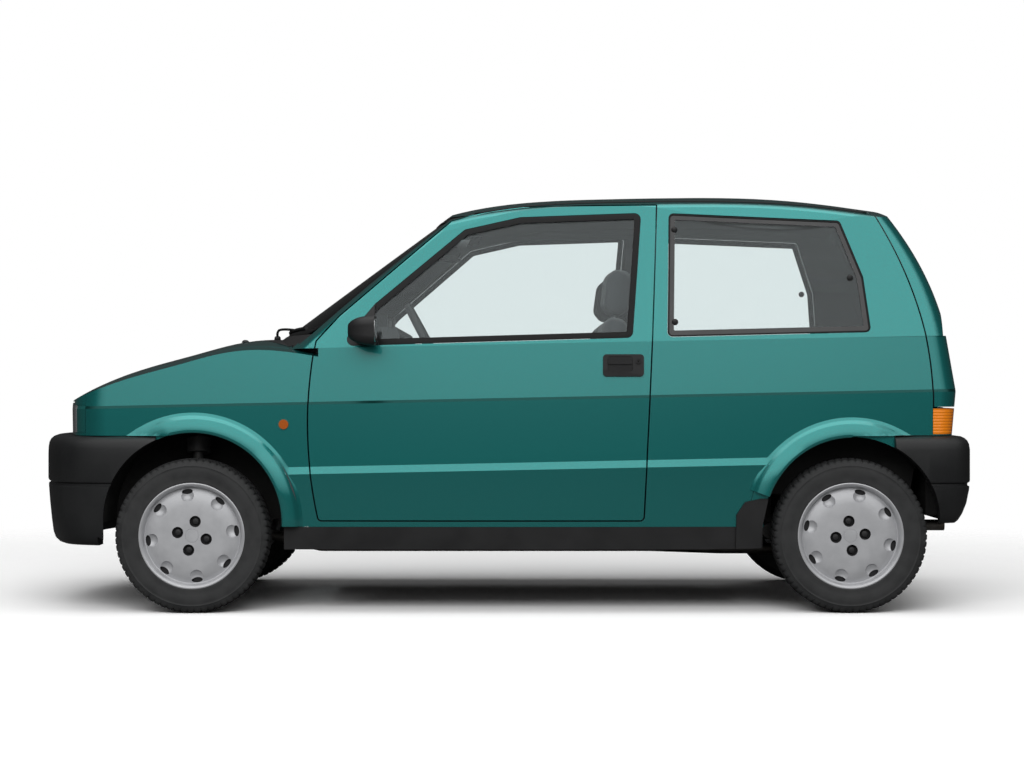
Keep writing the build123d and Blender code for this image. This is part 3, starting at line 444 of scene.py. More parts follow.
for end, hole_turn, bolt_turn in (("front", 83.6, 102.9), ("rear", 103.0, 83.7)):
    blank = turned(f"wheel_blank_{end}", wheel_section, 160)
    blank.materials.append(wheel_silver)
    scoop, air_hole, bolt_hole = (0.025, 0.023, 0.0255), (0.0085, 0.0165, 0.0185), (0.019, 0.019, 0.019)
    wheel = carved(blank, (
        ring_of("scoops", 8, 0.1375, hole_turn, 0.062, scoop, wheel_silver, True),
        ring_of("air_holes", 8, 0.1485, hole_turn, 0.05, air_hole, wheel_hole_shade, False),
        ring_of("bolt_holes", 4, bolt_circle, bolt_turn, 0.055, bolt_hole, wheel_hole_shade, False),
    ))
    smooth(wheel, 32)
    for side, name in both_sides:
        corner = f"{end}_{name}"
        mesh = handed(wheel.copy(), side)
        mesh.name = f"wheel_cover_{corner}"
        piece = fit(mesh, f"{corner}_wheel", None, axle_of[corner])
        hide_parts(f"wheel_{corner}")
        for i in range(4):
            angle = math.radians(bolt_turn + 90 * i)
            bolt = turned(f"wheel_bolt_{corner}_{i}", bolt_section, 24)
            smooth(bolt, 35)
            seat = (bolt_circle * math.cos(angle), 0, bolt_circle * math.sin(angle))
            bolt.transform(Matrix.Translation(seat))
            fit(handed(bolt, side), f"{corner}_wheel", bolt_black, axle_of[corner])

# ---- Painted panels ----
# Pressed and welded steel skins in teal green metallic paint under clear lacquer. Their feet carry black
# underseal, what stands behind the rear bumper is painted black as shade, and inside they carry grained trim.
body_paint, paint = finish("teal_metallic", 0.75, (0.015, 0.24, 0.225), 0.26, 1.0)
tree = paint.id_data
paint.inputs["Coat Roughness"].default_value = 0.06
where = add(tree, "TexCoord").outputs
spot = add(tree, "SeparateXYZ", {0: where["Object"]}).outputs
facing = add(tree, "SeparateXYZ", {0: where["Normal"]}).outputs
flake = add(tree, "TexVoronoi", {"Vector": where["Object"], "Scale": 1400}).outputs["Distance"]
teal = stops(tree, flake, (0.1, (0.01, 0.19, 0.182)), (0.9, (0.02, 0.285, 0.27)))
# painted shade: the narrow ledge of the crease is darkened as if in shadow, and loses its clear coat there
crease_height, ledge_reach = 0.715, 0.034
level = add(tree, "MapRange", {"Value": facing["Z"], "From Min": 0.15, "From Max": 0.35}).outputs["Result"]
ledge = calc(tree, "MULTIPLY", level, calc(tree, "COMPARE", spot["Z"], crease_height, ledge_reach))
crease_shade = (0.006, 0.06, 0.055, 1)
shaded_ledge = add(tree, "Mix", {"Factor": ledge, "A": teal, "B": crease_shade}, data_type="RGBA")
tree.links.new(shaded_ledge.outputs["Result"], paint.inputs["Base Color"])
tree.links.new(calc(tree, "SUBTRACT", 1.0, ledge), paint.inputs["Coat Weight"])
# the trim is dark round the seats and turns to pale headlining over the windows
rise = add(tree, "MapRange", {"Value": spot["Z"], "From Min": 1.12, "From Max": 1.26}).outputs["Result"]
low_trim, headlining = (0.045, 0.047, 0.05, 1), (0.42, 0.44, 0.45, 1)
lining = add(tree, "Mix", {"Factor": rise, "A": low_trim, "B": headlining}, data_type="RGBA")
trim = add(tree, "BsdfPrincipled", {"Base Color": lining.outputs["Result"], "Roughness": 0.75})
trim_grain = add(tree, "TexNoise", {"Vector": where["Object"], "Scale": 420}).outputs["Fac"]
raised(trim, trim_grain, 0.5, 0.0003)
black_coat_and_shade = add(tree, "BsdfPrincipled", {"Base Color": (0.01, 0.01, 0.01, 1), "Roughness": 0.85})
# inside is where a face looks towards the middle of the cabin
cabin_middle = (-0.3, 0, 0.75)
from_middle = add(tree, "VectorMath", {0: where["Object"], 1: cabin_middle}, operation="SUBTRACT")
sight = {0: where["Normal"], 1: from_middle.outputs[0]}
outlook = add(tree, "VectorMath", sight, operation="DOT_PRODUCT").outputs["Value"]
inside = calc(tree, "LESS_THAN", outlook, -0.12)
# below the doors the feet are black with underseal; behind the rear bumper's ends the black is painted shade
bumper_end, bumper_rim, door_foot = -1.331, 0.594, 0.288
behind = calc(tree, "LESS_THAN", spot["X"], bumper_end)
shade_behind_bumper = calc(tree, "MULTIPLY", behind, calc(tree, "LESS_THAN", spot["Z"], bumper_rim))
coat_and_shade = calc(tree, "MAXIMUM", shade_behind_bumper, calc(tree, "LESS_THAN", spot["Z"], door_foot))
lined = mixed(tree, inside, paint.outputs[0], trim.outputs[0])
sealed = mixed(tree, coat_and_shade, lined, black_coat_and_shade.outputs[0])
tree.links.new(sealed, tree.nodes["Material Output"].inputs["Surface"])
cover(
    body_paint, "door_left", "door_right", "side_frame_left", "side_frame_right", "roof_panel", "fender_left",
    "fender_right", "front_panel", "rear_panel", "tailgate", "bonnet",
)

# ---- Wheel arch lips ----
# The wings' edges are pressed outwards round each wheel and folded in over the opening. Each lip
# rises from the panel across its width, ends on the bumper and runs down to the sill.
lip_width = 0.066
lip_rise = 0.021
lip_steps = 9
lip_turns = 70
lip_end_turn = 128
bumper_top = 0.5925
# each arch's centre, as x and z, and its radius
arch_places = {"front": ((1.006, 0.305), 0.3), "rear": ((-1.187, 0.293), 0.296)}


def skin_of(*names):
    """The CAD nodes' surfaces as one target for rays."""
    points, faces = [], []
    for name in names:
        mesh = nodes[name].data
        start = len(points)
        points += [v.co.copy() for v in mesh.vertices]
        faces += [[start + i for i in p.vertices] for p in mesh.polygons]
    return BVHTree.FromPolygons(points, faces)


def on_skin(skin, seat, along, lift):
    """Where a ray from seat meets the skin, lifted back along the ray."""
    hit = skin.ray_cast(seat, along)[0]
    if hit is None:
        hit = skin.find_nearest(seat + along * 0.5)[0]
    return hit - along * lift


def even(values, reach):
    """Each value's mean with its neighbours up to reach away, so that small steps smooth out."""
    near = [values[max(0, k - reach):k + reach + 1] for k in range(len(values))]
    return [sum(some) / len(some) for some in near]


for end, foot_turn, leg, way in (("front", 0, 0.013, -1), ("rear", 19.5, 0, 1)):
    (centre_x, centre_z), radius = arch_places[end]
    # the lip's stations: how far round the arch, and how far below its foot
    spokes = [(0, leg - leg * s / 3) for s in range(3)] if leg else []
    spokes += [(foot_turn + (lip_end_turn - foot_turn) * s / lip_turns, 0) for s in range(lip_turns + 1)]
    for side, name in both_sides:
        panels = ("fender", "side_frame") if end == "front" else ("side_frame",)
        skin = skin_of(*(f"{panel}_{name}" for panel in panels))
        inwards = Vector((0, -side, 0))
        rings = []
        for i in range(lip_steps + 1):
            share = i / lip_steps
            reach = radius + 0.0008 + lip_width * (1 - share)
            ring = []
            for turn, drop in spokes:
                over_bumper = turn > 90
                x = centre_x + way * reach * math.cos(math.radians(turn))
                z = centre_z + reach * math.sin(math.radians(turn)) - drop
                z = max(z, bumper_top if over_bumper else 0)
                ray_z = max(z, bumper_top + 0.004 if over_bumper else 0)
                seat = on_skin(skin, Vector((x, side * 1.0, ray_z)), inwards, 0)
                ring.append(Vector((x, seat.y, z)))
            outer_y = even([p.y for p in ring], 7 if i else 1)
            for k, point in enumerate(ring):
                fade = min(1.0, 0.45 + (lip_end_turn - spokes[k][0]) / 40)
                lift = lip_rise * fade * math.sin(share * math.pi / 2) ** 0.9 - 0.0012
                point.y = outer_y[k] + side * lift
            rings.append(ring)
        # the edge is folded in over the opening
        for turn_in in (0.003, 0.024):
            rings.append([
                Vector((p.x + (centre_x - p.x) * 0.011, p.y - side * turn_in, p.z + (centre_z - p.z) * 0.011))
                for p in rings[lip_steps]
            ])
        for ring in rings[-2:]:
            for k, point in enumerate(ring):
                if spokes[k][0] > 90:
                    point.z = max(point.z, bumper_top)
        mesh = skinned(f"arch_lip_{end}_{name}", [[ring[k] for ring in rings] for k in range(len(spokes))])
        smooth(mesh, 48)
        fit(mesh, "car_body", body_paint)

# ---- Bumpers, sills, scuttle and handles ----
# Moulded plastic that was never painted: charcoal grained bumpers bolted over the wings' ends,
# and smoother black sill trims, mudflaps, scuttle, mirrors and door handles.
bumper_plastic, surface = finish("bumper_plastic", 0.0)
surface.inputs["Specular IOR Level"].default_value = 0.4
grain(surface, 520, 0.45, 0.0008)
patches(surface, 5, (0.009, 0.0095, 0.01), (0.014, 0.0145, 0.015), 0.38, 0.5)


def smooth_path(points, steps):
    """A smooth curve through plan points, with steps between each two."""
    path = []
    for k in range(len(points) - 1):
        before, here, there, after = (
            Vector(points[max(0, min(i, len(points) - 1))]) for i in (k - 1, k, k + 1, k + 2)
        )
        for s in range(steps):
            t = s / steps
            path.append(0.5 * (
                2 * here + (there - before) * t + (2 * before - 5 * here + 4 * there - after) * t ** 2
                + (3 * here - before - 3 * there + after) * t ** 3
            ))
    path.append(Vector(points[-1]))
    return path


def arch_cutter(centre, radius, low_y, high_y):
    """A wheel arch opening as a solid across the car: a round top on straight legs."""
    turns = [math.pi * s / 48 for s in range(49)]
    rim = [(centre[0] + radius * math.cos(turn), centre[1] + radius * math.sin(turn)) for turn in turns]
    rim += [(centre[0] - radius, 0.05), (centre[0] + radius, 0.05)]
    mesh = skinned("arch_cutter", [[(x, y, z) for x, z in rim] for y in (low_y, high_y)])
    mesh.materials.append(bumper_plastic)
    return mesh


# each bumper's section: how far it lies behind the outer line, and its height
front_section = (
    (0.12, 0.5915), (0.05, 0.5915), (0.034, 0.59), (0.02, 0.585), (0.01, 0.577), (0.004, 0.566),
    (0.001, 0.55), (0.0, 0.525), (0.0, 0.442), (0.0015, 0.437), (0.006, 0.4345), (0.0085, 0.432),
    (0.0085, 0.426), (0.006, 0.4235), (0.002, 0.4215), (0.002, 0.415), (0.006, 0.36),
    (0.012, 0.3), (0.018, 0.256), (0.024, 0.24), (0.034, 0.23), (0.048, 0.225), (0.12, 0.225),
)
rear_section = (
    (0.07, 0.5915), (0.045, 0.5915), (0.03, 0.5895), (0.018, 0.584), (0.009, 0.576), (0.003, 0.564),
    (0.0, 0.545), (0.0, 0.442), (0.0015, 0.437), (0.006, 0.4345), (0.0085, 0.432), (0.0085, 0.426),
    (0.006, 0.4235), (0.002, 0.4215), (0.003, 0.41), (0.012, 0.365), (0.026, 0.33),
    (0.04, 0.308), (0.05, 0.3), (0.07, 0.2985),
)
# each bumper's outer line seen from above, from the wheel arch to the middle of the car
front_plan = (
    (1.1305, 0.7425), (1.24, 0.735), (1.35, 0.714), (1.425, 0.678), (1.482, 0.618), (1.522, 0.52),
    (1.562, 0.35), (1.59, 0.18), (1.6035, 0.0),
)
rear_plan = (
    (-1.3305, 0.7425), (-1.42, 0.737), (-1.51, 0.726), (-1.57, 0.698), (-1.596, 0.63),
    (-1.602, 0.5), (-1.6035, 0.3), (-1.604, 0.0),
)
for end, plan, section in (("front", front_plan, front_section), ("rear", rear_plan, rear_section)):
    half = smooth_path(plan, 8)
    path = half + [Vector((p.x, -p.y)) for p in reversed(half[:-1])]
    rings = []
    for k, place in enumerate(path):
        along = (path[min(k + 1, len(path) - 1)] - path[max(k - 1, 0)]).normalized()
        away = Vector((-along.y, along.x))
        if away.dot(place - Vector((0.8 * plan[-1][0], 0))) < 0:
            away = -away
        rings.append([(place.x - away.x * depth, place.y - away.y * depth, z) for depth, z in section])
    blank = skinned(f"bumper_blank_{end}", rings)
    blank.materials.append(bumper_plastic)
    centre, radius = arch_places[end]
    cutters = [arch_cutter(centre, radius, -1, 1)]
    if end == "front":
        cutters.append(arch_cutter(centre, radius + 0.02, -0.702, 0.702))
    mesh = carved(blank, cutters)
    mesh.name = f"bumper_moulding_{end}"
    smooth(mesh, 35)
    moulding = fit(mesh, "car_body", bumper_plastic)
    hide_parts(f"{end}_bumper")
trim_black, surface = finish("trim_black", 0.0)
grain(surface, 380, 0.3, 0.0005)
patches(surface, 7, (0.008, 0.008, 0.0085), (0.014, 0.014, 0.0145), 0.42, 0.6)
cover(trim_black, "sill_trims", "scuttle", "door_handle_left", "door_handle_right")
cover(trim_black, "mirror_left", "mirror_right")

# ---- Door locks ----
# A chromed steel lock barrel with a sunk face is pressed into each door handle's plate, behind
# the flap.
lock_section = (
    (0, 0.003), (0.0022, 0.003), (0.0024, 0.0022), (0.0052, 0.0022), (0.006, 0.0016), (0.006, -0.001),
    (0, -0.001),
)
lock_chrome, surface = finish("lock_chrome", 1.0)
grain(surface, 700, 0.1, 0.0003)
patches(surface, 60, (0.45, 0.45, 0.46), (0.6, 0.6, 0.61), 0.2, 0.4)
for side, name in both_sides:
    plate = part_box(f"door_handle_{name}")[1 if side > 0 else 0].y
    barrel = turned(f"door_lock_{name}", lock_section, 32)
    smooth(barrel, 30)
    seat = Vector((-0.476, plate - side * 0.003, 0.841))
    fit(handed(barrel, side), f"{name}_door", lock_chrome, seat)

# ---- Glass ----
# Toughened glass with a light grey-green tint, bonded or held in rubber. Light passes straight
# through it, and its surface mirrors the room.
window_glass, gloss = finish("window_glass", 1.0, (0.62, 0.66, 0.67), 0.03)
tree = gloss.id_data
through = add(tree, "BsdfTransparent", {"Color": (0.938, 0.968, 0.968, 1)}).outputs[0]
slant = add(tree, "Fresnel", {"IOR": 1.5}).outputs["Fac"]
sheen = add(tree, "Math", {0: slant, 1: 0.015}, operation="ADD", use_clamp=True).outputs[0]
pane = mixed(tree, sheen, through, gloss.outputs[0])
tree.links.new(pane, tree.nodes["Material Output"].inputs["Surface"])
cover(window_glass, "door_glass_left", "door_glass_right", "quarter_glasses", "windscreen", "tailgate_glass")

# ---- Window seals ----
# Black rubber and blackened steel frames round every pane. They lie on the glass and fill the
# step up to the paint, a little crowned across their width.
seal_rubber, surface = finish("seal_rubber", 0.0)
surface.inputs["Specular IOR Level"].default_value = 0.25
grain(surface, 300, 0.12, 0.0004)
patches(surface, 10, (0.004, 0.0042, 0.0045), (0.007, 0.0072, 0.0075), 0.38, 0.55)
# outlines of the openings: x and z on the sides, y and z at the ends
door_window = (
    (0.522, 0.891), (0.405, 1.034), (0.104, 1.289), (-0.083, 1.331), (-0.493, 1.345), (-0.458, 0.919),
)
rear_window = ((-0.573, 0.921), (-0.585, 1.344), (-1.165, 1.319), (-1.236, 1.125), (-1.256, 0.938))
screen_outline = ((0.612, 0.934), (0.512, 1.342), (-0.512, 1.342), (-0.612, 0.934))
tail_outline = ((0.56, 0.985), (0.478, 1.322), (-0.478, 1.322), (-0.56, 0.985))


def rounded(outline, radius, inset, pitch=0.03, arc_steps=7):
    """Points round an outline with rounded corners, drawn in by inset. Each inset gives as many."""
    points_2d = [Vector(p) for p in outline]
    turn = sum(a.x * b.y - b.x * a.y for a, b in zip(points_2d, points_2d[1:] + points_2d[:1]))
    inward = 1 if turn > 0 else -1
    arcs, runs = [], []
    for i, corner in enumerate(points_2d):
        before, after = points_2d[i - 1], points_2d[(i + 1) % len(points_2d)]
        come, go = (corner - before).normalized(), (after - corner).normalized()
        n_come = Vector((-come.y, come.x)) * inward
        n_go = Vector((-go.y, go.x)) * inward
        apex = corner + inset * (n_come + n_go) / (1 + n_come.dot(n_go))
        bend = come.angle(go)
        r = max(radius - inset, 0.004)
        centre = apex - come * (r * math.tan(bend / 2)) + n_come * r
        spokes = [
            (-n_come).slerp(-n_go, step / arc_steps) if bend > 0.01 else -n_come
            for step in range(arc_steps + 1)
        ]
        arcs.append([centre + spoke * r for spoke in spokes])
        runs.append(max(2, int((after - corner).length / pitch)))
    points = []
    for i, (arc, run) in enumerate(zip(arcs, runs)):
        points += arc + [arc[-1].lerp(arcs[(i + 1) % len(arcs)][0], s / run) for s in range(1, run)]
    return points


def band(name, body, skin, outer, inner, seat_of, along, edge_lift, crown_lift, material):
    """A crowned strip on the skin between two loops that have as many points."""
    rings = []
    for a, b in zip(outer, inner):
        lifts = (a, -0.0005), (a, edge_lift), ((a + b) / 2, crown_lift), (b, edge_lift), (b, -0.0005)
        rings.append([on_skin(skin, seat_of(p), along, lift) for p, lift in lifts])
    mesh = skinned(name, rings, True)
    smooth(mesh, 50)
    fit(mesh, body, material)


def side_band(name, body, pane, side, outer, inner, edge_lift, crown_lift, material):
    """A band on a side window, its points found by rays from beside the car."""
    band(
        name, body, skin_of(pane), outer, inner, lambda p: Vector((p.x, side * 1.0, p.y)),
        Vector((0, -side, 0)), edge_lift, crown_lift, material,
    )


for side, name in both_sides:
    side_band(
        f"door_window_frame_{name}", f"{name}_door", f"door_glass_{name}", side,
        rounded(door_window, 0.022, 0.0012), rounded(door_window, 0.022, 0.021), 0.003, 0.0042, seal_rubber,
    )
    side_band(
        f"quarter_window_edge_{name}", "car_body", "quarter_glasses", side,
        rounded(rear_window, 0.018, 0.0012), rounded(rear_window, 0.018, 0.0065), 0.003, 0.0038, seal_rubber,
    )
band(
    "windscreen_rubber", "car_body", skin_of("windscreen"), rounded(screen_outline, 0.05, 0.0012),
    rounded(screen_outline, 0.05, 0.018), lambda p: Vector((1.6, p.x, p.y)), Vector((-1, 0, 0)),
    0.0045, 0.0075, seal_rubber,
)
band(
    "tail_window_rubber", "tail_door", skin_of("tailgate_glass"), rounded(tail_outline, 0.045, 0.0012),
    rounded(tail_outline, 0.045, 0.018), lambda p: Vector((-1.9, p.x, p.y)), Vector((1, 0, 0)),
    0.004, 0.006, seal_rubber,
)

# ---- Rear side windows ----
# Each fixed pane has a black border fired onto it, and is held by three screws under round
# black caps along its edge.
fired_black, surface = finish("fired_black", 0.0, coat=0.5)
grain(surface, 200, 0.05, 0.0003)
patches(surface, 15, (0.01, 0.0105, 0.011), (0.016, 0.0165, 0.017), 0.08, 0.18)
cap_section = (
    (0, 0.0062), (0.0045, 0.0058), (0.0085, 0.0044), (0.0105, 0.0022), (0.011, -0.0005), (0, -0.0005),
)
cap_places = ((-0.604, 1.286), (-0.6, 0.972), (-1.192, 1.122))
for side, name in both_sides:
    side_band(
        f"quarter_window_border_{name}", "car_body", "quarter_glasses", side,
        rounded(rear_window, 0.018, 0.006), rounded(rear_window, 0.024, 0.022), 0.0005, 0.0006, fired_black,
    )
    for i, (x, z) in enumerate(cap_places):
        cap = turned(f"window_cap_{name}_{i}", cap_section, 28)
        smooth(cap, 60)
        seat = on_skin(skin_of("quarter_glasses"), Vector((x, side * 1.0, z)), Vector((0, -side, 0)), 0)
        fit(handed(cap, side), "car_body", trim_black, seat)

# ---- Roof gutters ----
# A thin black rubber strip presses into the joint along each edge of the roof, from the top of
# the windscreen back to the tailgate.
gutter_y, gutter_front, gutter_length, stations = 0.5055, 0.118, 1.385, 60
gutter_section = ((-0.006, -0.001), (-0.005, 0.003), (0, 0.0042), (0.005, 0.003), (0.006, -0.001))
down = Vector((0, 0, -1))
for side, name in both_sides:
    roof_skin = skin_of("roof_panel", f"side_frame_{name}")
    rings = []
    for k in range(stations + 1):
        x = gutter_front - k / stations * gutter_length
        rings.append([
            on_skin(roof_skin, Vector((x, side * (gutter_y + across), 1.8)), down, lift)
            for across, lift in gutter_section
        ])
    mesh = skinned(f"roof_gutter_{name}", rings)
    mesh.shade_smooth()
    fit(mesh, "car_body", seal_rubber)

# ---- Lamps ----
# Headlamps have a fluted glass front over a bright reflector, and painted ends. The tail lamps
# are moulded red plastic with amber corners and a clear strip for reversing, and the side
# repeaters are amber.


def fluted(surface, way, scale, depth, height):
    """Even ribs moulded into a lens, one after another along an axis."""
    tree = surface.id_data
    where = add(tree, "TexCoord").outputs["Object"]
    flute = add(tree, "TexWave", {"Vector": where, "Scale": scale}, bands_direction=way)
    raised(surface, flute.outputs["Fac"], depth, height)


head_lens, surface = finish("head_lens", 0.7, (0.62, 0.64, 0.66), 0.12, 1.0)
tree = surface.id_data
where = add(tree, "TexCoord").outputs
ahead = add(tree, "SeparateXYZ", {0: where["Object"]}).outputs["X"]
repeater = calc(tree, "LESS_THAN", ahead, 0.8)
clear_glass, amber = (0.6, 0.62, 0.64, 1), (0.75, 0.16, 0.01, 1)
tint = add(tree, "Mix", {"Factor": repeater, "A": clear_glass, "B": amber}, data_type="RGBA")
tree.links.new(tint.outputs["Result"], surface.inputs["Base Color"])
fluted(surface, "Y", 28, 0.6, 0.003)
sideways = calc(tree, "ABSOLUTE", add(tree, "SeparateXYZ", {0: where["Normal"]}).outputs["Y"])
far_ahead = calc(tree, "GREATER_THAN", ahead, 0.8)
lamp_end = calc(tree, "MULTIPLY", calc(tree, "GREATER_THAN", sideways, 0.5), far_ahead)
lamp_paint = add(tree, "BsdfPrincipled", {
    "Base Color": (0.012, 0.15, 0.14, 1), "Metallic": 0.55, "Roughness": 0.34, "Coat Weight": 1.0,
})
lamp_mix = mixed(tree, lamp_end, surface.outputs[0], lamp_paint.outputs[0])
tree.links.new(lamp_mix, tree.nodes["Material Output"].inputs["Surface"])
cover(head_lens, "front_lamps")

tail_lens, surface = finish("tail_lens", 0.0, (0.5, 0.02, 0.015), 0.12, 0.6)
tree = surface.id_data
spot = add(tree, "SeparateXYZ", {0: add(tree, "TexCoord").outputs["Object"]}).outputs
out = calc(tree, "ABSOLUTE", spot["Y"])
across_lens = add(tree, "MapRange", {"Value": out, "From Min": 0.47, "From Max": 0.71}).outputs["Result"]
red, reversing, corner_amber = (0.42, 0.012, 0.01), (0.7, 0.7, 0.7), (0.8, 0.22, 0.008)
lens_colour = stops(
    tree, across_lens, (0, red), (0.1, reversing), (0.26, red), (0.58, corner_amber), blend="CONSTANT",
)
tree.links.new(lens_colour, surface.inputs["Base Color"])
fluted(surface, "Z", 32, 0.5, 0.002)
cover(tail_lens, "tail_lamps")

# ---- Tailgate foot seal ----
# A black rubber strip lies along the tail panel under the tailgate's lower edge and closes the
# gap above the tail lamps.
foot_section = ((-1.472, 0.684), (-1.474, 0.6868), (-1.5, 0.6882), (-1.526, 0.6868), (-1.528, 0.684))
mesh = skinned("tailgate_foot_seal", [[(x, y, z) for x, z in foot_section] for y in (-0.52, 0.52)])
fit(mesh, "car_body", seal_rubber)

# ---- Cabin fittings ----
# Moulded dashboard, steering wheel and parcel shelf in grained dark grey plastic, with four round
# air vents, a glass over the instruments and a glossy radio front set into the dashboard.
cabin_plastic, surface = finish("cabin_plastic", 0.0)
grain(surface, 430, 0.4, 0.0008)
patches(surface, 6, (0.03, 0.031, 0.033), (0.042, 0.043, 0.045), 0.55, 0.7)
cover(cabin_plastic, "dashboard", "steering_wheel", "parcel_shelf")
vent_section = (
    (0, 0.003), (0.01, 0.003), (0.011, 0.001), (0.014, 0.001), (0.015, 0.0035), (0.02, 0.0035),
    (0.021, 0.001), (0.024, 0.001), (0.026, 0.006), (0.029, 0.007), (0.032, 0.005), (0.033, -0.002),
    (0, -0.002),
)
vent_height = 0.885
forward, backward = Vector((1, 0, 0)), Vector((-1, 0, 0))
dash_skin = skin_of("dashboard")
for i, y in enumerate((0.545, 0.075, -0.075, -0.545)):
    mesh = turned(f"air_vent_{i}", vent_section, 36)
    mesh.transform(Matrix.Rotation(math.radians(90), 4, "Z"))
    seat = on_skin(dash_skin, Vector((0, y, vent_height)), forward, 0.0)
    smooth(mesh, 35)
    fit(mesh, "car_body", cabin_plastic, seat)


def slab(name, size, corner, bulge=0.0):
    """A rounded plate in the YZ plane, its front face to -X, domed by bulge."""
    half_wide, half_tall, back = (measure / 2 for measure in size)
    sheet = [(y * half_wide, z * half_tall) for y, z in ((-1, -1), (1, -1), (1, 1), (-1, 1))]
    outline = rounded(sheet, corner, 0, 0.02, 6)
    shape = bmesh.new()
    rims = [
        [shape.verts.new((x, p.x * share, p.y * share)) for p in outline]
        for share, x in ((1.0, back), (1.0, -back + 0.001), (0.97, -back), (0.6, -back - bulge * 0.7))
    ]
    for first, second in zip(rims, rims[1:]):
        for k in range(len(outline)):
            shape.faces.new((first[k - 1], first[k], second[k], second[k - 1]))
    shape.faces.new(rims[0])
    tip = shape.verts.new((-back - bulge, 0, 0))
    for k in range(len(outline)):
        shape.faces.new((rims[-1][k - 1], rims[-1][k], tip))
    bmesh.ops.recalc_face_normals(shape, faces=shape.faces)
    mesh = bpy.data.meshes.new(name)
    shape.to_mesh(mesh)
    shape.free()
    smooth(mesh, 40)
    return mesh


dial_glass, surface = finish("dial_glass", 0.0, coat=0.8)
grain(surface, 120, 0.03, 0.0003)
patches(surface, 20, (0.008, 0.008, 0.009), (0.014, 0.014, 0.015), 0.05, 0.12)
dials = slab("instrument_glass", (0.225, 0.075, 0.006), 0.02, 0.002)
fit(dials, "car_body", dial_glass, Vector((0.3725, 0.33, 0.955)))
radio = slab("radio_front", (0.18, 0.052, 0.008), 0.004, 0.0015)
radio_seat = on_skin(dash_skin, Vector((0, 0, 0.8)), forward, 0.002)
fit(radio, "car_body", dial_glass, radio_seat)

# ---- Mirrors ----
# Silvered glass held in the door mirrors' housings and in a small plastic mirror that hangs
# from a stalk inside the windscreen, turned towards the driver.
silvered, surface = finish("silvered", 1.0)
grain(surface, 60, 0.01, 0.0002)
patches(surface, 30, (0.8, 0.82, 0.83), (0.85, 0.87, 0.88), 0.02, 0.05)
for side, name in both_sides:
    back_of_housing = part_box(f"mirror_{name}")[0].x
    face = slab(f"mirror_glass_{name}", (0.128, 0.074, 0.004), 0.022, 0.0015)
    seat = Vector((back_of_housing - 0.0005, side * 0.805, 0.94))
    fit(face, f"{name}_door", silvered, seat)
mirror_place = Vector((0.185, 0.0, 1.243))
to_driver = Matrix.Rotation(math.radians(-24), 4, "Z") @ Matrix.Rotation(math.radians(8), 4, "Y")
back = slab("inside_mirror", (0.205, 0.056, 0.022), 0.02, 0.0)
back.transform(to_driver)
fit(back, "car_body", cabin_plastic, mirror_place)
face = slab("inside_mirror_glass", (0.195, 0.048, 0.003), 0.018, 0.0005)
face.transform(Matrix.Translation((-0.0125, 0, 0)))
face.transform(to_driver)
fit(face, "car_body", silvered, mirror_place)


def rod(name, path, radius, material):
    """A round rod on the body along a smooth path, closed at both ends."""
    line = bpy.data.curves.new("rod_line", "CURVE")
    line.dimensions = "3D"
    line.bevel_depth = radius
    line.bevel_resolution = 2
    line.use_fill_caps = True
    spline = line.splines.new("NURBS")
    spline.points.add(len(path) - 1)
    for point, place in zip(spline.points, path):
        point.co = (*place, 1)
    spline.order_u = 3
    spline.use_endpoint_u = True
    maker = bpy.data.objects.new("rod_line", line)
    scene_objects.link(maker)
    mesh = bpy.data.meshes.new_from_object(maker.evaluated_get(bpy.context.evaluated_depsgraph_get()))
    bpy.data.objects.remove(maker)
    mesh.name = name
    smooth(mesh, 50)
    fit(mesh, "car_body", material)


screen_skin = skin_of("windscreen")
mirror_foot = on_skin(screen_skin, Vector((-0.3, 0, 1.285)), forward, 0.001)
stalk_path = (mirror_foot, mirror_foot + Vector((-0.03, 0, -0.012)), (0.192, 0, 1.25))
rod("inside_mirror_stalk", stalk_path, 0.006, cabin_plastic)

# ---- Seats ----
# Foam cushions, backs and head rests under dark grey cloth, drawn in where the side bolsters
# meet the middle. The front ones stand on steel runners, and steel posts hold the head rests.
seat_cloth, surface = finish("seat_cloth", 0.0)
tree = surface.id_data
surface.inputs["Sheen Weight"].default_value = 0.35
surface.inputs["Sheen Roughness"].default_value = 0.5
where = add(tree, "TexCoord").outputs["Object"]
warp = add(tree, "TexWave", {"Vector": where, "Scale": 240}, bands_direction="Y").outputs["Fac"]
weft = add(tree, "TexWave", {"Vector": where, "Scale": 240}, bands_direction="Z").outputs["Fac"]
raised(surface, calc(tree, "MAXIMUM", warp, weft), 0.5, 0.001)
patches(surface, 22, (0.032, 0.034, 0.037), (0.05, 0.052, 0.057), 0.85, 0.98)


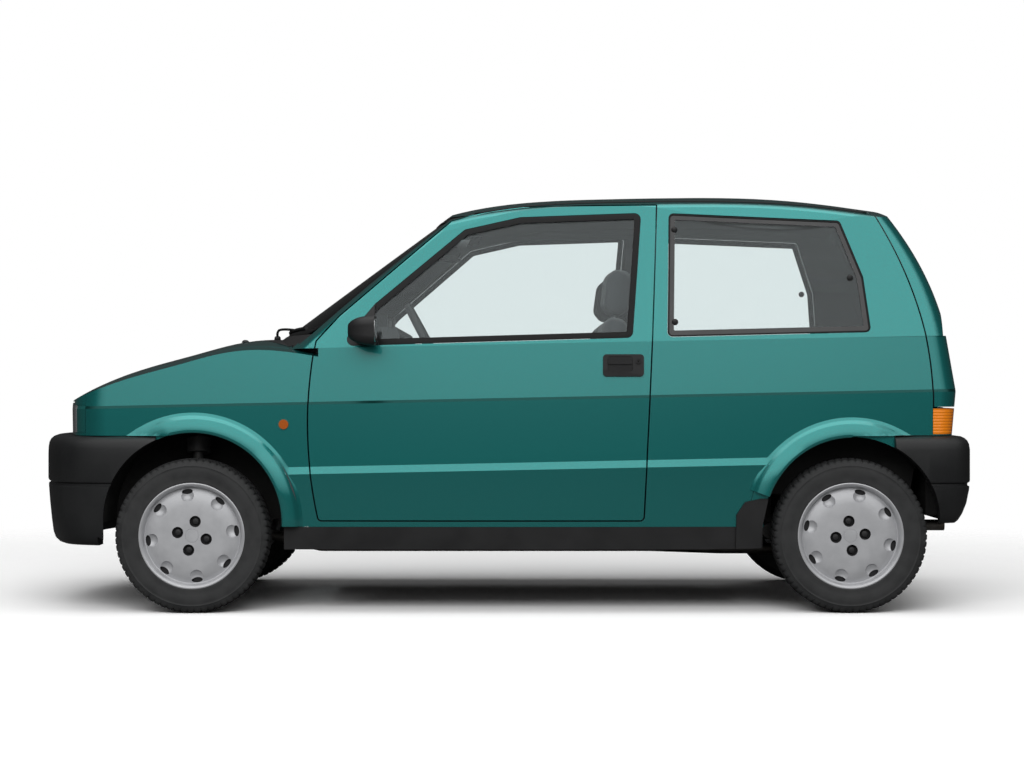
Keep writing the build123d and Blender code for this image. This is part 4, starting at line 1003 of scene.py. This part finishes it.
def pad(name, size, corner, crown, channels, lean, centre, hollow):
    """A stuffed pad: length along X, width along Y, thickness along Z before it leans about Y.

    channels are seams along X at shares of the half width, each drawn in by a few millimetres."""
    shape = bmesh.new()
    bmesh.ops.create_cube(shape, size=1)
    for axis, cuts in (("y", 44), ("x", 40), ("z", 10)):
        edges = [e for e in shape.edges if abs(getattr(e.verts[0].co - e.verts[1].co, axis)) > 0.5]
        bmesh.ops.subdivide_edges(shape, edges=edges, cuts=cuts, use_grid_fill=True)
    half = Vector(measure / 2 for measure in size)
    for vert in shape.verts:
        u, v, w = vert.co.x * 2, vert.co.y * 2, vert.co.z * 2
        point = Vector((u * half.x, v * half.y, w * half.z))
        core = Vector(max(-h + corner, min(h - corner, p)) for h, p in zip(half, point))
        away = point - core
        if away.length > 1e-6:
            point = core + away.normalized() * min(away.length, corner)
        if w > 0:
            dome = (1 - u ** 4) * (1 - v ** 4)
            point.z += crown * (dome - 1) * w
            point.z -= hollow * math.exp(-((v / 0.45) ** 4)) * dome * w
            for share, depth, spread in channels:
                seam = math.exp(-(((abs(v) - share) * half.y / spread) ** 2))
                point.z -= depth * seam * (1 - u ** 8) * w
        point.y *= 1 - 0.035 * (1 - u * u) * abs(v) ** 6
        vert.co = point
    mesh = bpy.data.meshes.new(name)
    shape.to_mesh(mesh)
    shape.free()
    mesh.transform(Matrix.Translation(centre) @ Matrix.Rotation(math.radians(lean), 4, "Y"))
    outward(mesh)
    mesh.shade_smooth()
    piece = fit(mesh, "car_body", seat_cloth)
    rounding = piece.modifiers.new("rounding", "SUBSURF")
    rounding.levels = rounding.render_levels = 1
    return piece


seat_y = 0.33
seams = ((0.62, 0.009, 0.007), (0.0, 0.004, 0.006))
rest_seams = ((0.72, 0.004, 0.006),)
for side, name in both_sides:
    y = side * seat_y
    cushion = pad(
        f"seat_cushion_{name}", (0.48, 0.46, 0.118), 0.042, 0.01, seams, -7.0, (-0.088, y, 0.392), 0.01,
    )
    if side > 0:
        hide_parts("front_seats")
    pad(f"seat_back_{name}", (0.57, 0.46, 0.1), 0.04, 0.012, seams, 79.0, (-0.356, y, 0.712), 0.012)
    pad(f"head_rest_{name}", (0.158, 0.24, 0.1), 0.044, 0.006, rest_seams, 82.0, (-0.42, y, 1.083), 0.0)
    for end, across in (("in", -0.055), ("out", 0.055)):
        post = ((-0.405, y + across, 0.96), (-0.412, y + across, 1.0), (-0.418, y + across, 1.04))
        rod(f"head_rest_post_{name}_{end}", post, 0.006, lock_chrome)
    runner = slab(f"seat_runner_{name}", (0.36, 0.36, 0.11), 0.02, 0.0)
    runner.transform(Matrix.Rotation(math.radians(90), 4, "Y"))
    fit(runner, "car_body", axle_paint, Vector((-0.115, y, 0.2905)))
bench_seams = ((0.06, 0.008, 0.007), (0.8, 0.007, 0.008))
bench = pad("rear_cushion", (0.4, 0.985, 0.1), 0.04, 0.008, bench_seams, -4.5, (-0.892, 0, 0.448), 0.006)
pad("rear_back", (0.5, 0.985, 0.082), 0.036, 0.008, bench_seams, 75.5, (-1.172, 0, 0.712), 0.006)
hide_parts("rear_seat")

# ---- Seat belts ----
# A black belt woven in twill hangs inside each door pillar, a little slack, from its guide below
# the roof down beside the front seat.
belt_web, surface = finish("belt_web", 0.0)
tree = surface.id_data
surface.inputs["Sheen Weight"].default_value = 0.2
where = add(tree, "TexCoord").outputs["Object"]
twill = add(tree, "TexWave", {"Vector": where, "Scale": 300}, bands_direction="DIAGONAL").outputs["Fac"]
raised(surface, twill, 0.4, 0.0008)
patches(surface, 40, (0.015, 0.015, 0.016), (0.024, 0.024, 0.025), 0.7, 0.9)
belt_width, belt_thick, belt_top, belt_drop, belt_slack = 0.046, 0.0012, 1.215, 0.72, 0.01
half_belt, belt_through = Vector((belt_width / 2, 0, 0)), Vector((0, belt_thick, 0))
for side, name in both_sides:
    rings = []
    for t in range(13):
        x = -0.505 - belt_slack * math.sin(math.pi * t / 12)
        place = Vector((x, side * (0.572 + 0.045 * t / 12), belt_top - belt_drop * t / 12))
        front, rear = place + half_belt, place - half_belt
        rings.append([rear, front, front + belt_through, rear + belt_through])
    fit(skinned(f"front_belt_{name}", rings), "car_body", belt_web)

# ---- Wipers ----
# Two black wiper arms turn on pivots in the scuttle, each holding a rubber blade along the foot
# of the windscreen.
cover(trim_black, "wipers_front")
pivot_section = (
    (0, 0.012), (0.006, 0.0115), (0.01, 0.009), (0.0115, 0.004), (0.012, -0.004), (0, -0.004),
)
scuttle_skin = skin_of("scuttle", "bonnet", "windscreen")
for name, pivot_x, pivot_y, hold_y in (("left", 0.79, 0.085, 0.275), ("right", 0.735, -0.455, -0.265)):
    seat = on_skin(scuttle_skin, Vector((pivot_x, pivot_y, 1.5)), down, 0.002)
    mesh = turned(f"wiper_pivot_{name}", pivot_section, 28)
    mesh.transform(Matrix.Rotation(math.radians(90), 4, "X"))
    mesh.shade_smooth()
    fit(mesh, "car_body", trim_black, seat)
    hold = on_skin(screen_skin, Vector((1.6, hold_y, 0.957)), backward, 0.02)
    middle = (seat + hold) / 2 + Vector((0.02, 0, 0.022))
    arm = (seat + Vector((0, 0, 0.012)), seat + Vector((0.0, 0.02, 0.02)), middle, hold)
    rod(f"wiper_arm_{name}", arm, 0.0045, trim_black)

# ---- Washer jets ----
# Two small moulded jets in black plastic, longer than they are wide, clip into the bonnet and
# spray the windscreen.
jet_section = (
    (0, 0.009), (0.003, 0.0088), (0.006, 0.007), (0.0085, 0.003), (0.009, -0.001), (0, -0.001),
)
bonnet_skin = skin_of("bonnet")
for side, name in both_sides:
    mesh = turned(f"washer_jet_{name}", jet_section, 24)
    mesh.transform(Matrix.Rotation(math.radians(90), 4, "X"))
    mesh.transform(Matrix.Scale(1.5, 4, (1, 0, 0)))
    mesh.shade_smooth()
    seat = on_skin(bonnet_skin, Vector((0.885, side * 0.26, 1.5)), down, 0.0)
    fit(mesh, "bonnet_lid", trim_black, seat)
